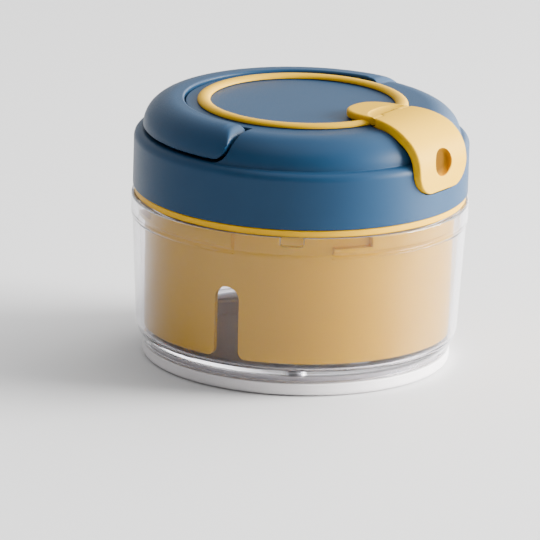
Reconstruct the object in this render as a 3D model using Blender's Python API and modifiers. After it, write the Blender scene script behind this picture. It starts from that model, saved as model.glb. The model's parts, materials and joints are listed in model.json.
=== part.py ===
"""Hand-held food chopper with a pull cord: clear bowl, blue lid, folding bail and yellow pull ring.

The origin is the middle of the foot ring's underside, +Z is up, the strap faces -Y and the bail swings
about the X axis. Sizes are in millimetres and become metres when a mesh is made.
"""
import math

import bmesh
import bpy

MM = 0.001

# Running and seating gaps, and the usual edge chamfer
GAP = 0.3
LOOSE_GAP = 0.4
CHAMFER = 0.4

# Foot ring and bowl
FOOT_HEIGHT = 4.6
FOOT_WIDTH = 8.3
FOOT_RIB_HEIGHT = 1.7
FOOT_RIB_WIDTH = 1.8
FOOT_RIB_SETBACK = 3.2
FOOT_ROUND = 1.6
BASE_SETBACK = 2.6
BASE_STEP_HEIGHT = 2.4
BOWL_HEIGHT = 53.3
BOWL_FLOOR = 2.4
BOWL_WALL = 2.2
BOWL_CORNER_HEIGHT = 6.5
BOWL_CORNER_WIDTH = 3.5
BOWL_CORNER_REACH = 68.0
BOWL_TAPER = 2.0
RIM_PROUD = 0.4
RIM_STEP = 0.5
RIM_BAND_HEIGHT = 7.2
RIM_WALL = 2.5
BOWL_FILLET = 2.0
STEP_RISE = 0.6

# Bayonet between bowl and lid
LUG_COUNT = 4
LUG_ANGLE = 31.5
LUG_WIDTH = 8.6
LUG_HEIGHT = 2.8
LUG_DEPTH = 1.9
LUG_DROP = 0.9
RECESS_ANGLE = 28.0
RECESS_SPREAD = 36.0
LOCK_SPREAD = 14.0
BAYONET_HEIGHT = 7.5
BAYONET_FALL = 1.6
TRACK_STEP = 0.1

# Lid shell
LID_RADIUS = 59.0
SKIRT_HEIGHT = 19.9
SKIRT_WALL = 2.2
SKIRT_FILLET = 3.0
LEDGE_WIDTH = 3.2
DOME_HEIGHT = 10.2
DOME_WIDTH = 12.0
ROOF_THICKNESS = 2.3
CAVITY_WALL = 3.7
SNAP_HEIGHT = 3.2
SNAP_DEPTH = 0.5
SNAP_HALF = 0.6
SNAP_FLAT = 0.2

# Inner sleeve and lid seal
FLANGE_HEIGHT = 2.3
FLANGE_SETBACK = 0.7
UPSTAND_HEIGHT = 5.2
UPSTAND_WALL = 2.2
SLEEVE_WALL = 2.0
SLEEVE_TAPER = 0.5
SLEEVE_FILLET = 1.5
SLEEVE_FLOOR_GAP = 2.1
SLOT_WIDTH = 9.1
SLOT_HEIGHT = 25.8
SLOT_FLARE = 3.0
SLOT_ANGLE = 7.5
SEAL_HEIGHT = 1.1
SEAL_WIDTH = 0.8

# Bail handle
BAIL_WIDTH = 14.1
BAIL_HEIGHT = 10.2
BAIL_FLAT = 2.8
BAIL_EDGE = 0.7
BAIL_LIFT = 1.2
BAIL_WALL_GAP = 0.5
BAIL_END_GAP = 1.2
BAIL_PIN_RADIUS = 1.5
BAIL_PIN_LENGTH = 11.0
BAIL_PIN_SHIFT = 0.6

# Pull ring, tongue and strap
RING_SETBACK = 9.0
RING_WIDTH = 4.5
RING_HEIGHT = 1.4
RING_STEP = 0.1
TONGUE_RISE = 3.1
TONGUE_LENGTH = 15.5
TONGUE_HALF_WIDTH = 11.0
TONGUE_EDGE = 0.6
TONGUE_POWER = 0.8
HINGE_SETOUT = 1.7
HINGE_BARREL_RADIUS = 1.4
HINGE_CLEAR_RADIUS = 2.1
HINGE_KNUCKLE_HALF = 5.2
HINGE_PIN_RADIUS = 0.6
STRAP_HALF_WIDTH = 14.75
STRAP_NECK_HALF = 11.25
STRAP_THICKNESS = 3.5
STRAP_PROUD = 0.7
STRAP_LENGTH_DOWN = 11.1
STRAP_BEND_START = 7.5
STRAP_SLOPE = 0.7
STRAP_BEND_HEIGHT = 16.6
STRAP_CORNER = 7.0
STRAP_FLARE_START = 1.0
STRAP_FLARE_LENGTH = 15.0
STRAP_FLARE_POWER = 1.6
DIMPLE_RADIUS = 5.0
DIMPLE_DEPTH = 1.6

# Cord, its outlet and its knot
CORD_RADIUS = 1.0
CORD_DROP = 0.8
OUTLET_RADIUS = 4.8
TUNNEL_RADIUS = 2.6
BOSS_RADIUS = 4.2
BOSS_LENGTH = 4.2
KNOT_RADIUS = 2.4
KNOT_POCKET_RADIUS = 3.0
EYELET_FLANGE = 1.0
EYELET_LENGTH = 5.0
EYELET_BORE = 1.4

# Reel, spring and drive
AXLE_RADIUS = 2.0
AXLE_LENGTH = 20.0
AXLE_BOSS_RADIUS = 6.0
REEL_SETBACK = 13.5
REEL_GROOVE_DEPTH = 8.0
REEL_GROOVE_HEIGHT = 5.6
REEL_FLANGE = 1.2
REEL_HUB_RADIUS = 6.0
REEL_HUB_DROP = 14.7
WINDING_THICKNESS = 2.0
SPRING_TURNS = 3
SPRING_HEIGHT = 5.0
SPRING_THICKNESS = 0.5
CUP_SETBACK = 16.0
CUP_WALL = 1.8
COVER_SETBACK = 2.5
COVER_THICKNESS = 2.0
BOSS_SETBACK = 6.5
SCREW_BOSS_RADIUS = 3.5
SCREW_RADIUS = 1.2
SCREW_HEAD_RADIUS = 3.0
SCREW_HEAD_HEIGHT = 1.6
SCREW_LENGTH = 10.5
SCREW_COUNT = 3
BUSH_WALL = 1.7
BUSH_FLANGE = 2.0
BUSH_FLANGE_HEIGHT = 0.6
SOCKET_RADIUS = 8.0
SOCKET_DEPTH = 7.3
SOCKET_WEB = 1.0
SOCKET_CUP = 4.0
WEB_HOLE_RADIUS = 9.0
TANG_RADIUS = 4.5
TANG_THICKNESS = 4.0
TANG_LENGTH = 9.5
RIB_INNER_RADIUS = 3.4
RIB_WIDTH = 2.4
VENT_RADIUS = 1.0

# Blade rotor
PIN_RADIUS = 2.5
PIN_LENGTH = 22.0
PIN_BOSS_RADIUS = 6.0
PIN_BOSS_HEIGHT = 4.0
PIN_PAD_WIDTH = 2.0
SHAFT_RADIUS = 6.0
SHAFT_FOOT_RADIUS = 9.0
SHAFT_FOOT_HEIGHT = 2.0
BLADE_COUNT = 3
BLADE_THICKNESS = 1.0
BLADE_PITCH = 13.3
BLADE_TIP_GAP = 3.9
BLADE_HUB_RADIUS = 10.0
BLADE_ROOT_HALF = 7.0
BLADE_TIP_HALF = 2.6
BLADE_SWEEP = 34.0
COLLAR_HEIGHT = 3.0

# How far cutting shapes run past the part, and how far joined ones run into each other
OVERRUN = 12.0
OVERLAP = 1.0

# Facets
ROUND_STEPS = 40
MIDDLE_STEPS = 16
SMALL_STEPS = 14

# Heights that stack up from the table
base_bottom = FOOT_HEIGHT + GAP
base_top = base_bottom + BASE_STEP_HEIGHT
corner_top = base_top + BOWL_CORNER_HEIGHT
rim_top = base_bottom + BOWL_HEIGHT
rim_band_bottom = rim_top - RIM_BAND_HEIGHT
underside = base_bottom + FOOT_RIB_HEIGHT + GAP
floor_top = underside + BOWL_FLOOR
flange_bottom = rim_top + GAP
flange_top = flange_bottom + FLANGE_HEIGHT
skirt_bottom = flange_top + GAP
ledge = skirt_bottom + SKIRT_HEIGHT
flat_top = ledge + DOME_HEIGHT
roof_bottom = flat_top - ROOF_THICKNESS
cavity_floor = ledge - ROOF_THICKNESS

# Radii that follow the lid
rim_radius = LID_RADIUS + RIM_PROUD
rim_inner = rim_radius - RIM_WALL
bayonet_radius = rim_inner - LOOSE_GAP
sleeve_radius = rim_inner - LUG_DEPTH - 2 * GAP
sleeve_foot = sleeve_radius - SLEEVE_TAPER
bowl_foot_radius = rim_radius - RIM_STEP - BOWL_TAPER
base_radius = bowl_foot_radius - BASE_SETBACK
skirt_inner = LID_RADIUS - SKIRT_WALL
flange_radius = LID_RADIUS - FLANGE_SETBACK
dome_foot = LID_RADIUS - LEDGE_WIDTH
top_radius = dome_foot - DOME_WIDTH
bail_inner = dome_foot - BAIL_WIDTH
bail_wall = bail_inner - BAIL_WALL_GAP
ring_radius = top_radius - RING_SETBACK
hinge_distance = ring_radius + HINGE_SETOUT
cavity_radius = bail_wall - CAVITY_WALL
reel_radius = cavity_radius - REEL_SETBACK
reel_core_radius = reel_radius - REEL_GROOVE_DEPTH
cup_radius = cavity_radius - CUP_SETBACK
cover_radius = cavity_radius - COVER_SETBACK
boss_circle = cavity_radius - BOSS_SETBACK
blade_reach = sleeve_foot - SLEEVE_WALL - BLADE_TIP_GAP

# Handle places
bail_bottom = ledge + BAIL_LIFT
bail_top = bail_bottom + BAIL_HEIGHT
bail_axis = (bail_bottom + bail_top) / 2
bail_end_radius = BAIL_HEIGHT / 2
strap_top = flat_top + TONGUE_RISE
hinge_height = strap_top - HINGE_BARREL_RADIUS
ring_bottom = flat_top + GAP
strap_face = LID_RADIUS + STRAP_PROUD
strap_inner_face = strap_face - STRAP_THICKNESS
strap_bottom = ledge - STRAP_LENGTH_DOWN
cord_height = ledge - CORD_DROP

# Reel places
groove_bottom = cord_height - REEL_GROOVE_HEIGHT / 2
groove_top = cord_height + REEL_GROOVE_HEIGHT / 2
reel_bottom = groove_bottom - REEL_FLANGE
reel_top = groove_top + REEL_FLANGE
hub_bottom = reel_bottom - REEL_HUB_DROP
spring_bottom = reel_bottom - GAP - LOOSE_GAP - SPRING_HEIGHT
cover_top = spring_bottom - 2 * GAP - LOOSE_GAP
cover_bottom = cover_top - COVER_THICKNESS
boss_bottom = cover_top + GAP
bush_outer = REEL_HUB_RADIUS + GAP + BUSH_WALL

# Rotor places
pin_boss_top = floor_top + PIN_BOSS_HEIGHT
shaft_bottom = pin_boss_top + GAP
shaft_foot_top = shaft_bottom + SHAFT_FOOT_HEIGHT
blade_bottom = shaft_foot_top + GAP
collar_bottom = blade_bottom + (BLADE_COUNT - 1) * BLADE_PITCH + BLADE_THICKNESS + GAP
shaft_shoulder = collar_bottom - GAP / 2
neck_radius = SHAFT_RADIUS - 1.0
socket_web_bottom = hub_bottom - GAP - SOCKET_WEB
shaft_top = socket_web_bottom - GAP
tang_bottom = shaft_top - TANG_LENGTH
socket_bore = TANG_RADIUS + LOOSE_GAP
socket_bottom = socket_web_bottom - SOCKET_DEPTH

parts = None
cutters = None


def clear_scene():
    for old in list(bpy.data.objects):
        bpy.data.objects.remove(old, do_unlink=True)


def new_collection(name):
    group = bpy.data.collections.new(name)
    bpy.context.scene.collection.children.link(group)
    return group


def finish_of(name, color, roughness, metallic=0.0, transmission=0.0):
    material = bpy.data.materials.new(name)
    material.use_nodes = True
    shader = material.node_tree.nodes["Principled BSDF"]
    shader.inputs["Base Color"].default_value = (*color, 1.0)
    shader.inputs["Roughness"].default_value = roughness
    shader.inputs["Metallic"].default_value = metallic
    shader.inputs["Transmission Weight"].default_value = transmission
    material.diffuse_color = (*color, 1.0)
    return material


def arc(middle_r, middle_z, width, height, start, end, count):
    """Points of an elliptical arc, from the start to the end angle in degrees."""
    angles = [math.radians(start + (end - start) * i / count) for i in range(count + 1)]
    return [(middle_r + width * math.cos(a), middle_z + height * math.sin(a)) for a in angles]


def place(obj, material):
    """A finished sub-part goes in the chopper's collection, a tool (no material) with the cutters."""
    if material is None:
        cutters.objects.link(obj)
        obj.hide_render = True
        obj.display_type = "WIRE"
    else:
        parts.objects.link(obj)
        obj.data.materials.append(material)
    return obj


def turned(name, profile, steps, material=None):
    """Turn a profile of (radius, height) points about the Z axis; off the axis it closes on itself."""
    mesh = bpy.data.meshes.new(name)
    corners = [(radius * MM, 0.0, height * MM) for radius, height in profile]
    edges = [(i, i + 1) for i in range(len(profile) - 1)]
    if profile[0][0] > 0.0:
        edges.append((len(profile) - 1, 0))
    mesh.from_pydata(corners, edges, [])
    obj = place(bpy.data.objects.new(name, mesh), material)
    turn = obj.modifiers.new("turn", "SCREW")
    turn.axis = "Z"
    turn.angle = math.tau
    turn.steps = steps
    turn.render_steps = steps
    turn.use_merge_vertices = True
    turn.merge_threshold = 0.00001
    turn.use_smooth_shade = True
    return obj


def mesh_of_curve(curve_object, material=None):
    """Replace a curve by its welded mesh at the same place."""
    name = curve_object.name
    bpy.context.view_layer.update()
    evaluated = curve_object.evaluated_get(bpy.context.evaluated_depsgraph_get())
    mesh = bpy.data.meshes.new_from_object(evaluated)
    welded = bmesh.new()
    welded.from_mesh(mesh)
    bmesh.ops.remove_doubles(welded, verts=welded.verts, dist=0.000001)
    welded.to_mesh(mesh)
    welded.free()
    matrix = curve_object.matrix_world.copy()
    bpy.data.objects.remove(curve_object, do_unlink=True)
    mesh.materials.clear()
    obj = place(bpy.data.objects.new(name, mesh), material)
    obj.matrix_world = matrix
    return obj


VIEW_TURN = {
    "top": (0.0, 0.0, 0.0),
    "front": (math.pi / 2, 0.0, 0.0),
    "side": (math.pi / 2, 0.0, math.pi / 2),
}


def slab(name, outlines, thickness, view, middle=(0.0, 0.0, 0.0), material=None):
    """Flat outline of (across, up) points drawn in a view and given a thickness along that view."""
    curve = bpy.data.curves.new(name, "CURVE")
    curve.dimensions = "2D"
    curve.fill_mode = "BOTH"
    curve.extrude = thickness * MM / 2
    for outline in outlines:
        spline = curve.splines.new("POLY")
        spline.points.add(len(outline) - 1)
        for point, (across, up) in zip(spline.points, outline):
            point.co = (across * MM, up * MM, 0.0, 1.0)
        spline.use_cyclic_u = True
    obj = bpy.data.objects.new(name, curve)
    cutters.objects.link(obj)
    obj.rotation_euler = VIEW_TURN[view]
    obj.location = [value * MM for value in middle]
    return mesh_of_curve(obj, material)


AXIS_TURN = {"X": (0.0, math.pi / 2, 0.0), "Y": (math.pi / 2, 0.0, 0.0), "Z": (0.0, 0.0, 0.0)}


def cylinder(name, radius, length, middle, axis="Z", steps=SMALL_STEPS, material=None):
    mesh = bpy.data.meshes.new(name)
    shape = bmesh.new()
    bmesh.ops.create_cone(
        shape, cap_ends=True, segments=steps, radius1=radius * MM, radius2=radius * MM, depth=length * MM)
    shape.to_mesh(mesh)
    shape.free()
    obj = place(bpy.data.objects.new(name, mesh), material)
    obj.rotation_euler = AXIS_TURN[axis]
    obj.location = [value * MM for value in middle]
    return obj


def box(name, size, middle):
    mesh = bpy.data.meshes.new(name)
    shape = bmesh.new()
    bmesh.ops.create_cube(shape, size=1.0)
    bmesh.ops.scale(shape, vec=[value * MM for value in size], verts=shape.verts)
    shape.to_mesh(mesh)
    shape.free()
    obj = place(bpy.data.objects.new(name, mesh), None)
    obj.location = [value * MM for value in middle]
    return obj


def combine(target, tool, operation):
    step = target.modifiers.new(tool.name, "BOOLEAN")
    step.operation = operation
    step.solver = "EXACT"
    step.object = tool
    return target


def cut(target, *tools):
    for tool in tools:
        combine(target, tool, "DIFFERENCE")
    return target


def join(target, *tools):
    for tool in tools:
        combine(target, tool, "UNION")
    return target


def keep_within(target, *tools):
    for tool in tools:
        combine(target, tool, "INTERSECT")
    return target


def sector(inner, outer, start, end):
    """Outline of a ring sector seen from above, angles in degrees."""
    count = max(3, int(abs(end - start) / 4))
    return arc(0.0, 0.0, outer, outer, start, end, count) + arc(0.0, 0.0, inner, inner, end, start, count)


def make_foot_ring(material):
    outer = base_radius
    inner = outer - FOOT_WIDTH
    rib_outer = outer - FOOT_RIB_SETBACK
    rib_inner = rib_outer - FOOT_RIB_WIDTH
    rib_top = base_bottom + FOOT_RIB_HEIGHT
    profile = [(inner, FOOT_HEIGHT), (rib_inner, FOOT_HEIGHT), (rib_inner, rib_top), (rib_outer, rib_top)]
    profile += [(rib_outer, FOOT_HEIGHT), (outer - CHAMFER, FOOT_HEIGHT), (outer, FOOT_HEIGHT - CHAMFER)]
    profile += arc(outer - FOOT_ROUND, FOOT_ROUND, FOOT_ROUND, FOOT_ROUND, 0.0, -90.0, 2)
    profile += [(inner, 0.0)]
    return turned("foot_ring", profile, ROUND_STEPS, material)


def bowl_inner_radius(height):
    """Inner wall radius, parallel to the tapered outer wall."""
    share = (height - corner_top) / (rim_band_bottom - corner_top)
    return bowl_foot_radius + BOWL_TAPER * share - BOWL_WALL


def make_bowl(material):
    hole = PIN_RADIUS + GAP
    groove_outer = base_radius - FOOT_RIB_SETBACK + GAP
    floor_edge = bowl_inner_radius(floor_top) - BOWL_FILLET
    profile = [(0.0, underside), (hole, underside), (hole, pin_boss_top), (PIN_BOSS_RADIUS, pin_boss_top)]
    profile += [(PIN_BOSS_RADIUS, floor_top), (floor_edge, floor_top)]
    profile += arc(floor_edge, floor_top + BOWL_FILLET, BOWL_FILLET, BOWL_FILLET, -60.0, 0.0, 2)
    slope_bottom = rim_band_bottom - 2 * STEP_RISE
    profile += [(bowl_inner_radius(slope_bottom), slope_bottom), (rim_inner, rim_band_bottom - STEP_RISE)]
    profile += [(rim_inner, rim_top - CHAMFER), (rim_inner + CHAMFER, rim_top)]
    profile += [(rim_radius - CHAMFER, rim_top), (rim_radius, rim_top - CHAMFER)]
    profile += [(rim_radius, rim_band_bottom + STEP_RISE / 2)]
    profile += [(bowl_foot_radius + BOWL_TAPER, rim_band_bottom - STEP_RISE / 2)]
    corner_middle = bowl_foot_radius - BOWL_CORNER_WIDTH
    fall = BOWL_CORNER_HEIGHT / math.sin(math.radians(BOWL_CORNER_REACH))
    profile += arc(corner_middle, corner_top, BOWL_CORNER_WIDTH, fall, 0.0, -BOWL_CORNER_REACH, 4)
    profile += [(base_radius, base_top), (base_radius, base_bottom)]
    profile += [(groove_outer, base_bottom), (groove_outer, underside)]
    profile += [(PIN_BOSS_RADIUS + PIN_PAD_WIDTH, underside)]
    profile += [(PIN_BOSS_RADIUS + PIN_PAD_WIDTH / 2, base_bottom), (0.0, base_bottom)]
    bowl = turned("bowl", profile, ROUND_STEPS, material)
    lug_top = rim_top - LUG_DROP
    half = math.degrees(LUG_WIDTH / 2 / rim_inner)
    for number in range(LUG_COUNT):
        angle = LUG_ANGLE + number * 360.0 / LUG_COUNT
        outline = sector(rim_inner - LUG_DEPTH, rim_inner + RIM_WALL / 2, angle - half, angle + half)
        lug = slab(f"lug_{number + 1}", [outline], LUG_HEIGHT, "top", (0, 0, lug_top - LUG_HEIGHT / 2))
        join(bowl, lug)
    return bowl


def make_bowl_pin(material):
    bottom = underside + GAP
    radius = PIN_RADIUS
    top = bottom + PIN_LENGTH
    profile = [(0.0, top), (radius - 2 * CHAMFER, top), (radius, top - 2 * CHAMFER)]
    profile += [(radius, bottom), (0.0, bottom)]
    return turned("bowl_pin", profile, SMALL_STEPS, material)


def make_sleeve(material):
    upstand_outer = skirt_inner - GAP
    upstand_top = flange_top + UPSTAND_HEIGHT
    snap = flange_top + SNAP_HEIGHT
    lip_inner = bayonet_radius + 2 * GAP + SEAL_WIDTH
    seal_top = flange_bottom + SEAL_HEIGHT + GAP
    bayonet_bottom = flange_bottom - BAYONET_HEIGHT
    sleeve_bottom = floor_top + SLEEVE_FLOOR_GAP + GAP
    foot = sleeve_foot
    profile = [(upstand_outer - UPSTAND_WALL, upstand_top), (upstand_outer, upstand_top)]
    profile += [(upstand_outer, snap + SNAP_HALF)]
    bead = upstand_outer + SNAP_DEPTH
    profile += [(bead, snap + SNAP_FLAT), (bead, snap - SNAP_FLAT)]
    profile += [(upstand_outer, snap - SNAP_HALF), (upstand_outer, flange_top), (flange_radius, flange_top)]
    profile += [(flange_radius, flange_bottom), (lip_inner, flange_bottom), (lip_inner, seal_top)]
    profile += [(bayonet_radius, seal_top), (bayonet_radius, bayonet_bottom + BAYONET_FALL)]
    profile += [(sleeve_radius, bayonet_bottom), (foot, sleeve_bottom + CHAMFER)]
    profile += [(foot - CHAMFER, sleeve_bottom), (foot - SLEEVE_WALL, sleeve_bottom)]
    inner = sleeve_radius - SLEEVE_WALL
    profile += [(inner, flange_bottom - SLEEVE_FILLET), (inner - SLEEVE_FILLET, flange_bottom)]
    profile += [(WEB_HOLE_RADIUS, flange_bottom), (WEB_HOLE_RADIUS, flange_top)]
    profile += [(upstand_outer - UPSTAND_WALL, flange_top)]
    sleeve = turned("inner_sleeve", profile, ROUND_STEPS, material)
    recess_floor = sleeve_radius + GAP / 2
    recess_top = rim_top - LUG_DROP + GAP
    recess_bottom = bayonet_bottom - OVERLAP
    track_top = recess_top - TRACK_STEP
    lock_bottom = recess_top - LUG_HEIGHT - 2 * GAP
    for number in range(LUG_COUNT):
        middle = RECESS_ANGLE + number * 360.0 / LUG_COUNT
        end = middle + RECESS_SPREAD / 2
        entry = sector(recess_floor, rim_inner + OVERLAP, middle - RECESS_SPREAD / 2, end)
        lock = sector(recess_floor + TRACK_STEP, rim_inner + 2 * OVERLAP, end - OVERLAP, end + LOCK_SPREAD)
        entry_place = (0, 0, (recess_top + recess_bottom) / 2)
        lock_place = (0, 0, (track_top + lock_bottom) / 2)
        opening = slab(f"recess_{number + 1}", [entry], recess_top - recess_bottom, "top", entry_place)
        track = slab(f"lock_track_{number + 1}", [lock], track_top - lock_bottom, "top", lock_place)
        cut(sleeve, join(opening, track))
    outline = slot_outline(sleeve_bottom)
    slot = slab("sleeve_slots", [outline], 4 * sleeve_radius, "side")
    slot.rotation_euler.z += math.radians(SLOT_ANGLE)
    cut(sleeve, slot)
    return sleeve


def slot_outline(bottom):
    """Arch-topped slot, open below, whose lower corners flare out in quarter rounds."""
    half = SLOT_WIDTH / 2
    top = bottom + SLOT_HEIGHT
    left = arc(-half - SLOT_FLARE, bottom + SLOT_FLARE, SLOT_FLARE, SLOT_FLARE, -90.0, 0.0, 3)
    crown = arc(0.0, top - half, half, half, 180.0, 0.0, 10)
    right = [(-across, up) for across, up in reversed(left)]
    ends = [(half + SLOT_FLARE, bottom - OVERLAP), (-half - SLOT_FLARE, bottom - OVERLAP)]
    return left + crown + right + ends


def make_lid_seal(material):
    inner = bayonet_radius + GAP
    outer = inner + SEAL_WIDTH
    bottom = rim_top + GAP
    top = bottom + SEAL_HEIGHT - GAP / 2
    profile = [(inner, top), (outer, top), (outer, bottom), (inner, bottom)]
    return turned("lid_seal", profile, ROUND_STEPS, material)


def strap_outer_curve():
    """Outer face of the strap seen from the side: a gentle fall, an elliptical bend, a vertical end."""
    bend_y = hinge_distance + STRAP_BEND_START
    bend_z = strap_top - STRAP_SLOPE - STRAP_BEND_HEIGHT
    bend = arc(bend_y, bend_z, strap_face - bend_y, STRAP_BEND_HEIGHT, 90.0, 0.0, 9)
    return [(hinge_distance, strap_top)] + bend + [(strap_face, strap_bottom)]


def inward(curve, depth):
    """Points moved square to the curve by a depth, towards the lid."""
    moved = []
    for i, (across, up) in enumerate(curve):
        before = curve[max(i - 1, 0)]
        after = curve[min(i + 1, len(curve) - 1)]
        run = after[0] - before[0]
        fall = before[1] - after[1]
        length = math.hypot(run, fall)
        moved.append((across - depth * fall / length, up - depth * run / length))
    return moved


def strap_blank(name, grow, through, material=None):
    """The strap's body, or with grow and through the channel that it lies in."""
    outer = strap_outer_curve()
    inner = inward(outer, STRAP_THICKNESS + grow)
    inner[0] = (hinge_distance - (GAP if through else 0.0), inner[0][1])
    inner[-1] = (inner[-1][0], strap_bottom - OVERRUN * through)
    if through:
        far = strap_face + OVERRUN
        high = strap_top + OVERRUN
        outer = [(inner[0][0], high), (far, high), (far, inner[-1][1])]
    outline = [(-across, up) for across, up in outer + inner[::-1]]
    blank = slab(name, [outline], 2 * (STRAP_HALF_WIDTH + OVERRUN), "side", (0, 0, 0), material)
    half = STRAP_HALF_WIDTH + grow
    neck = STRAP_NECK_HALF + grow
    start = -hinge_distance - STRAP_FLARE_START
    flare = [(neck, -hinge_distance + STRAP_FLARE_START), (neck, start)]
    for share in (0.25, 0.5, 0.75, 1.0):
        flare.append((neck + (half - neck) * share, start - STRAP_FLARE_LENGTH * share ** STRAP_FLARE_POWER))
    flare += [(half, -strap_face - 2 * OVERRUN)]
    plan = flare + [(-across, up) for across, up in reversed(flare)]
    depth = 3 * DOME_HEIGHT + SKIRT_HEIGHT
    keep_within(blank, slab(name + "_plan", [plan], 2 * depth, "top", (0, 0, ledge)))
    foot = strap_bottom - grow
    corner = STRAP_CORNER + grow
    front = arc(half - corner, foot + corner, corner, corner, 0.0, -90.0, 5)
    front += [(-across, up) for across, up in reversed(front)]
    front += [(-half, strap_top + 2 * OVERRUN), (half, strap_top + 2 * OVERRUN)]
    keep_within(blank, slab(name + "_front", [front], 4 * LID_RADIUS, "front"))
    return blank


def make_lid_shell(material):
    groove = flange_top + SNAP_HEIGHT
    deep = skirt_inner + SNAP_DEPTH
    profile = [(0.0, flat_top)]
    profile += arc(top_radius, ledge, DOME_WIDTH, DOME_HEIGHT, 90.0, 0.0, 8)
    profile += arc(LID_RADIUS - SKIRT_FILLET, ledge - SKIRT_FILLET, SKIRT_FILLET, SKIRT_FILLET, 90.0, 0.0, 3)
    profile += [(LID_RADIUS, skirt_bottom), (skirt_inner, skirt_bottom)]
    profile += [(skirt_inner, groove - SNAP_HALF), (deep, groove - SNAP_FLAT), (deep, groove + SNAP_FLAT)]
    profile += [(skirt_inner, groove + SNAP_HALF), (skirt_inner, cavity_floor), (cavity_radius, cavity_floor)]
    profile += [(cavity_radius, roof_bottom), (AXLE_BOSS_RADIUS, roof_bottom)]
    profile += [(AXLE_BOSS_RADIUS, reel_top + GAP), (AXLE_RADIUS + GAP, reel_top + GAP)]
    profile += [(AXLE_RADIUS + GAP, roof_bottom), (0.0, roof_bottom)]
    shell = turned("lid_shell", profile, ROUND_STEPS, material)

    channel_floor = strap_inner_face - LOOSE_GAP
    pocket_bottom = strap_bottom - LOOSE_GAP - SKIRT_WALL
    pocket_height = cavity_floor + OVERLAP - pocket_bottom
    wall = [(channel_floor - SKIRT_WALL, pocket_bottom + pocket_height)]
    wall += [(LID_RADIUS - OVERLAP, pocket_bottom + pocket_height), (LID_RADIUS - OVERLAP, pocket_bottom)]
    wall += [(channel_floor - SKIRT_WALL, pocket_bottom)]
    pocket = turned("pocket_wall", wall, ROUND_STEPS)
    pocket_half = STRAP_HALF_WIDTH + LOOSE_GAP + SKIRT_WALL
    front_half = box("pocket_span", (2 * pocket_half, LID_RADIUS, 2 * LID_RADIUS), (0, -LID_RADIUS, ledge))
    join(shell, keep_within(pocket, front_half))

    for number in range(SCREW_COUNT):
        x, y = screw_place(number)
        length = roof_bottom + OVERLAP - boss_bottom
        middle = (x, y, boss_bottom + length / 2)
        join(shell, cylinder(f"screw_boss_{number + 1}", SCREW_BOSS_RADIUS, length, middle))

    rebate_top = bail_top + OVERRUN
    rebate_outer = LID_RADIUS + OVERRUN
    seat = [(bail_wall, rebate_top), (rebate_outer, rebate_top), (rebate_outer, ledge), (bail_wall, ledge)]
    rebate = turned("bail_rebate", seat, ROUND_STEPS)
    end_radius = bail_end_radius + BAIL_END_GAP
    region = rear_region("seat_region", end_radius)
    above = (3.5 * LID_RADIUS, 2 * end_radius - GAP, LID_RADIUS)
    join(region, box("seat_above", above, (0, 0, bail_axis + LID_RADIUS / 2)))
    cut(shell, keep_within(rebate, region))

    cut(shell, strap_blank("strap_channel", LOOSE_GAP, True))
    outlet_floor = outlet_depth()
    outlet_length = strap_face - outlet_floor
    outlet_middle = (0, -(strap_face + outlet_floor) / 2, cord_height)
    cut(shell, cylinder("cord_outlet", OUTLET_RADIUS, outlet_length, outlet_middle, "Y"))
    tunnel_length = outlet_floor - cavity_radius + 4 * OVERLAP
    tunnel_middle = (0, -(outlet_floor + cavity_radius) / 2, cord_height)
    cut(shell, cylinder("cord_tunnel", TUNNEL_RADIUS, tunnel_length, tunnel_middle, "Y"))
    for number in range(SCREW_COUNT):
        x, y = screw_place(number)
        depth = SCREW_LENGTH + GAP
        hole_middle = (x, y, boss_bottom + depth / 2 - OVERLAP)
        cut(shell, cylinder(f"pilot_hole_{number + 1}", SCREW_RADIUS + GAP, depth + 2 * OVERLAP, hole_middle))
    cut(shell, cylinder("bail_bore", BAIL_PIN_RADIUS + GAP, 2 * bail_inner, (0, 0, bail_axis), "X", 16))
    return shell


def rear_region(name, end_radius):
    """Everything behind the bail's axis, with round ends that reach forward of it."""
    span = 4 * LID_RADIUS
    region = box(name, (span, span / 2, span), (0, span / 4, bail_axis))
    return join(region, cylinder(name + "_ends", end_radius, span - OVERRUN, (0, 0, bail_axis), "X", 32))


def screw_place(number):
    """Place of a cover screw, evenly spaced about the axle."""
    angle = math.radians(90.0 + 360.0 * number / SCREW_COUNT)
    return boss_circle * math.cos(angle), boss_circle * math.sin(angle)


def outlet_depth():
    """Distance of the outlet's floor from the middle: past the strap's boss and the eyelet's flange."""
    return strap_inner_face - BOSS_LENGTH - GAP - EYELET_FLANGE - GAP


def make_bail(material):
    round_width = BAIL_WIDTH - BAIL_FLAT
    round_height = BAIL_HEIGHT - CHAMFER
    round_place = (dome_foot - round_width, bail_top - round_height)
    profile = [(bail_inner, bail_top - BAIL_EDGE), (bail_inner + BAIL_EDGE, bail_top)]
    profile += arc(*round_place, round_width, round_height, 90.0, 0.0, 7)
    profile += [(dome_foot - CHAMFER, bail_bottom), (bail_inner + CHAMFER, bail_bottom)]
    profile += [(bail_inner, bail_bottom + CHAMFER)]
    bail = turned("bail_handle", profile, ROUND_STEPS, material)
    keep_within(bail, rear_region("bail_region", bail_end_radius))
    reach = 2 * bail_pin_middle() + BAIL_PIN_LENGTH + 2 * GAP
    holes = cylinder("bail_pin_holes", BAIL_PIN_RADIUS + GAP, reach, (0, 0, bail_axis), "X", 16)
    cut(bail, holes)
    return bail


def bail_pin_middle():
    """Distance of each bail pin's middle from the centre, half in the lid and half in the bail."""
    return bail_wall + BAIL_PIN_SHIFT


def make_bail_pin(name, side, material):
    middle = (side * bail_pin_middle(), 0, bail_axis)
    return cylinder(name, BAIL_PIN_RADIUS, BAIL_PIN_LENGTH, middle, "X", 16, material)


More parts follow.
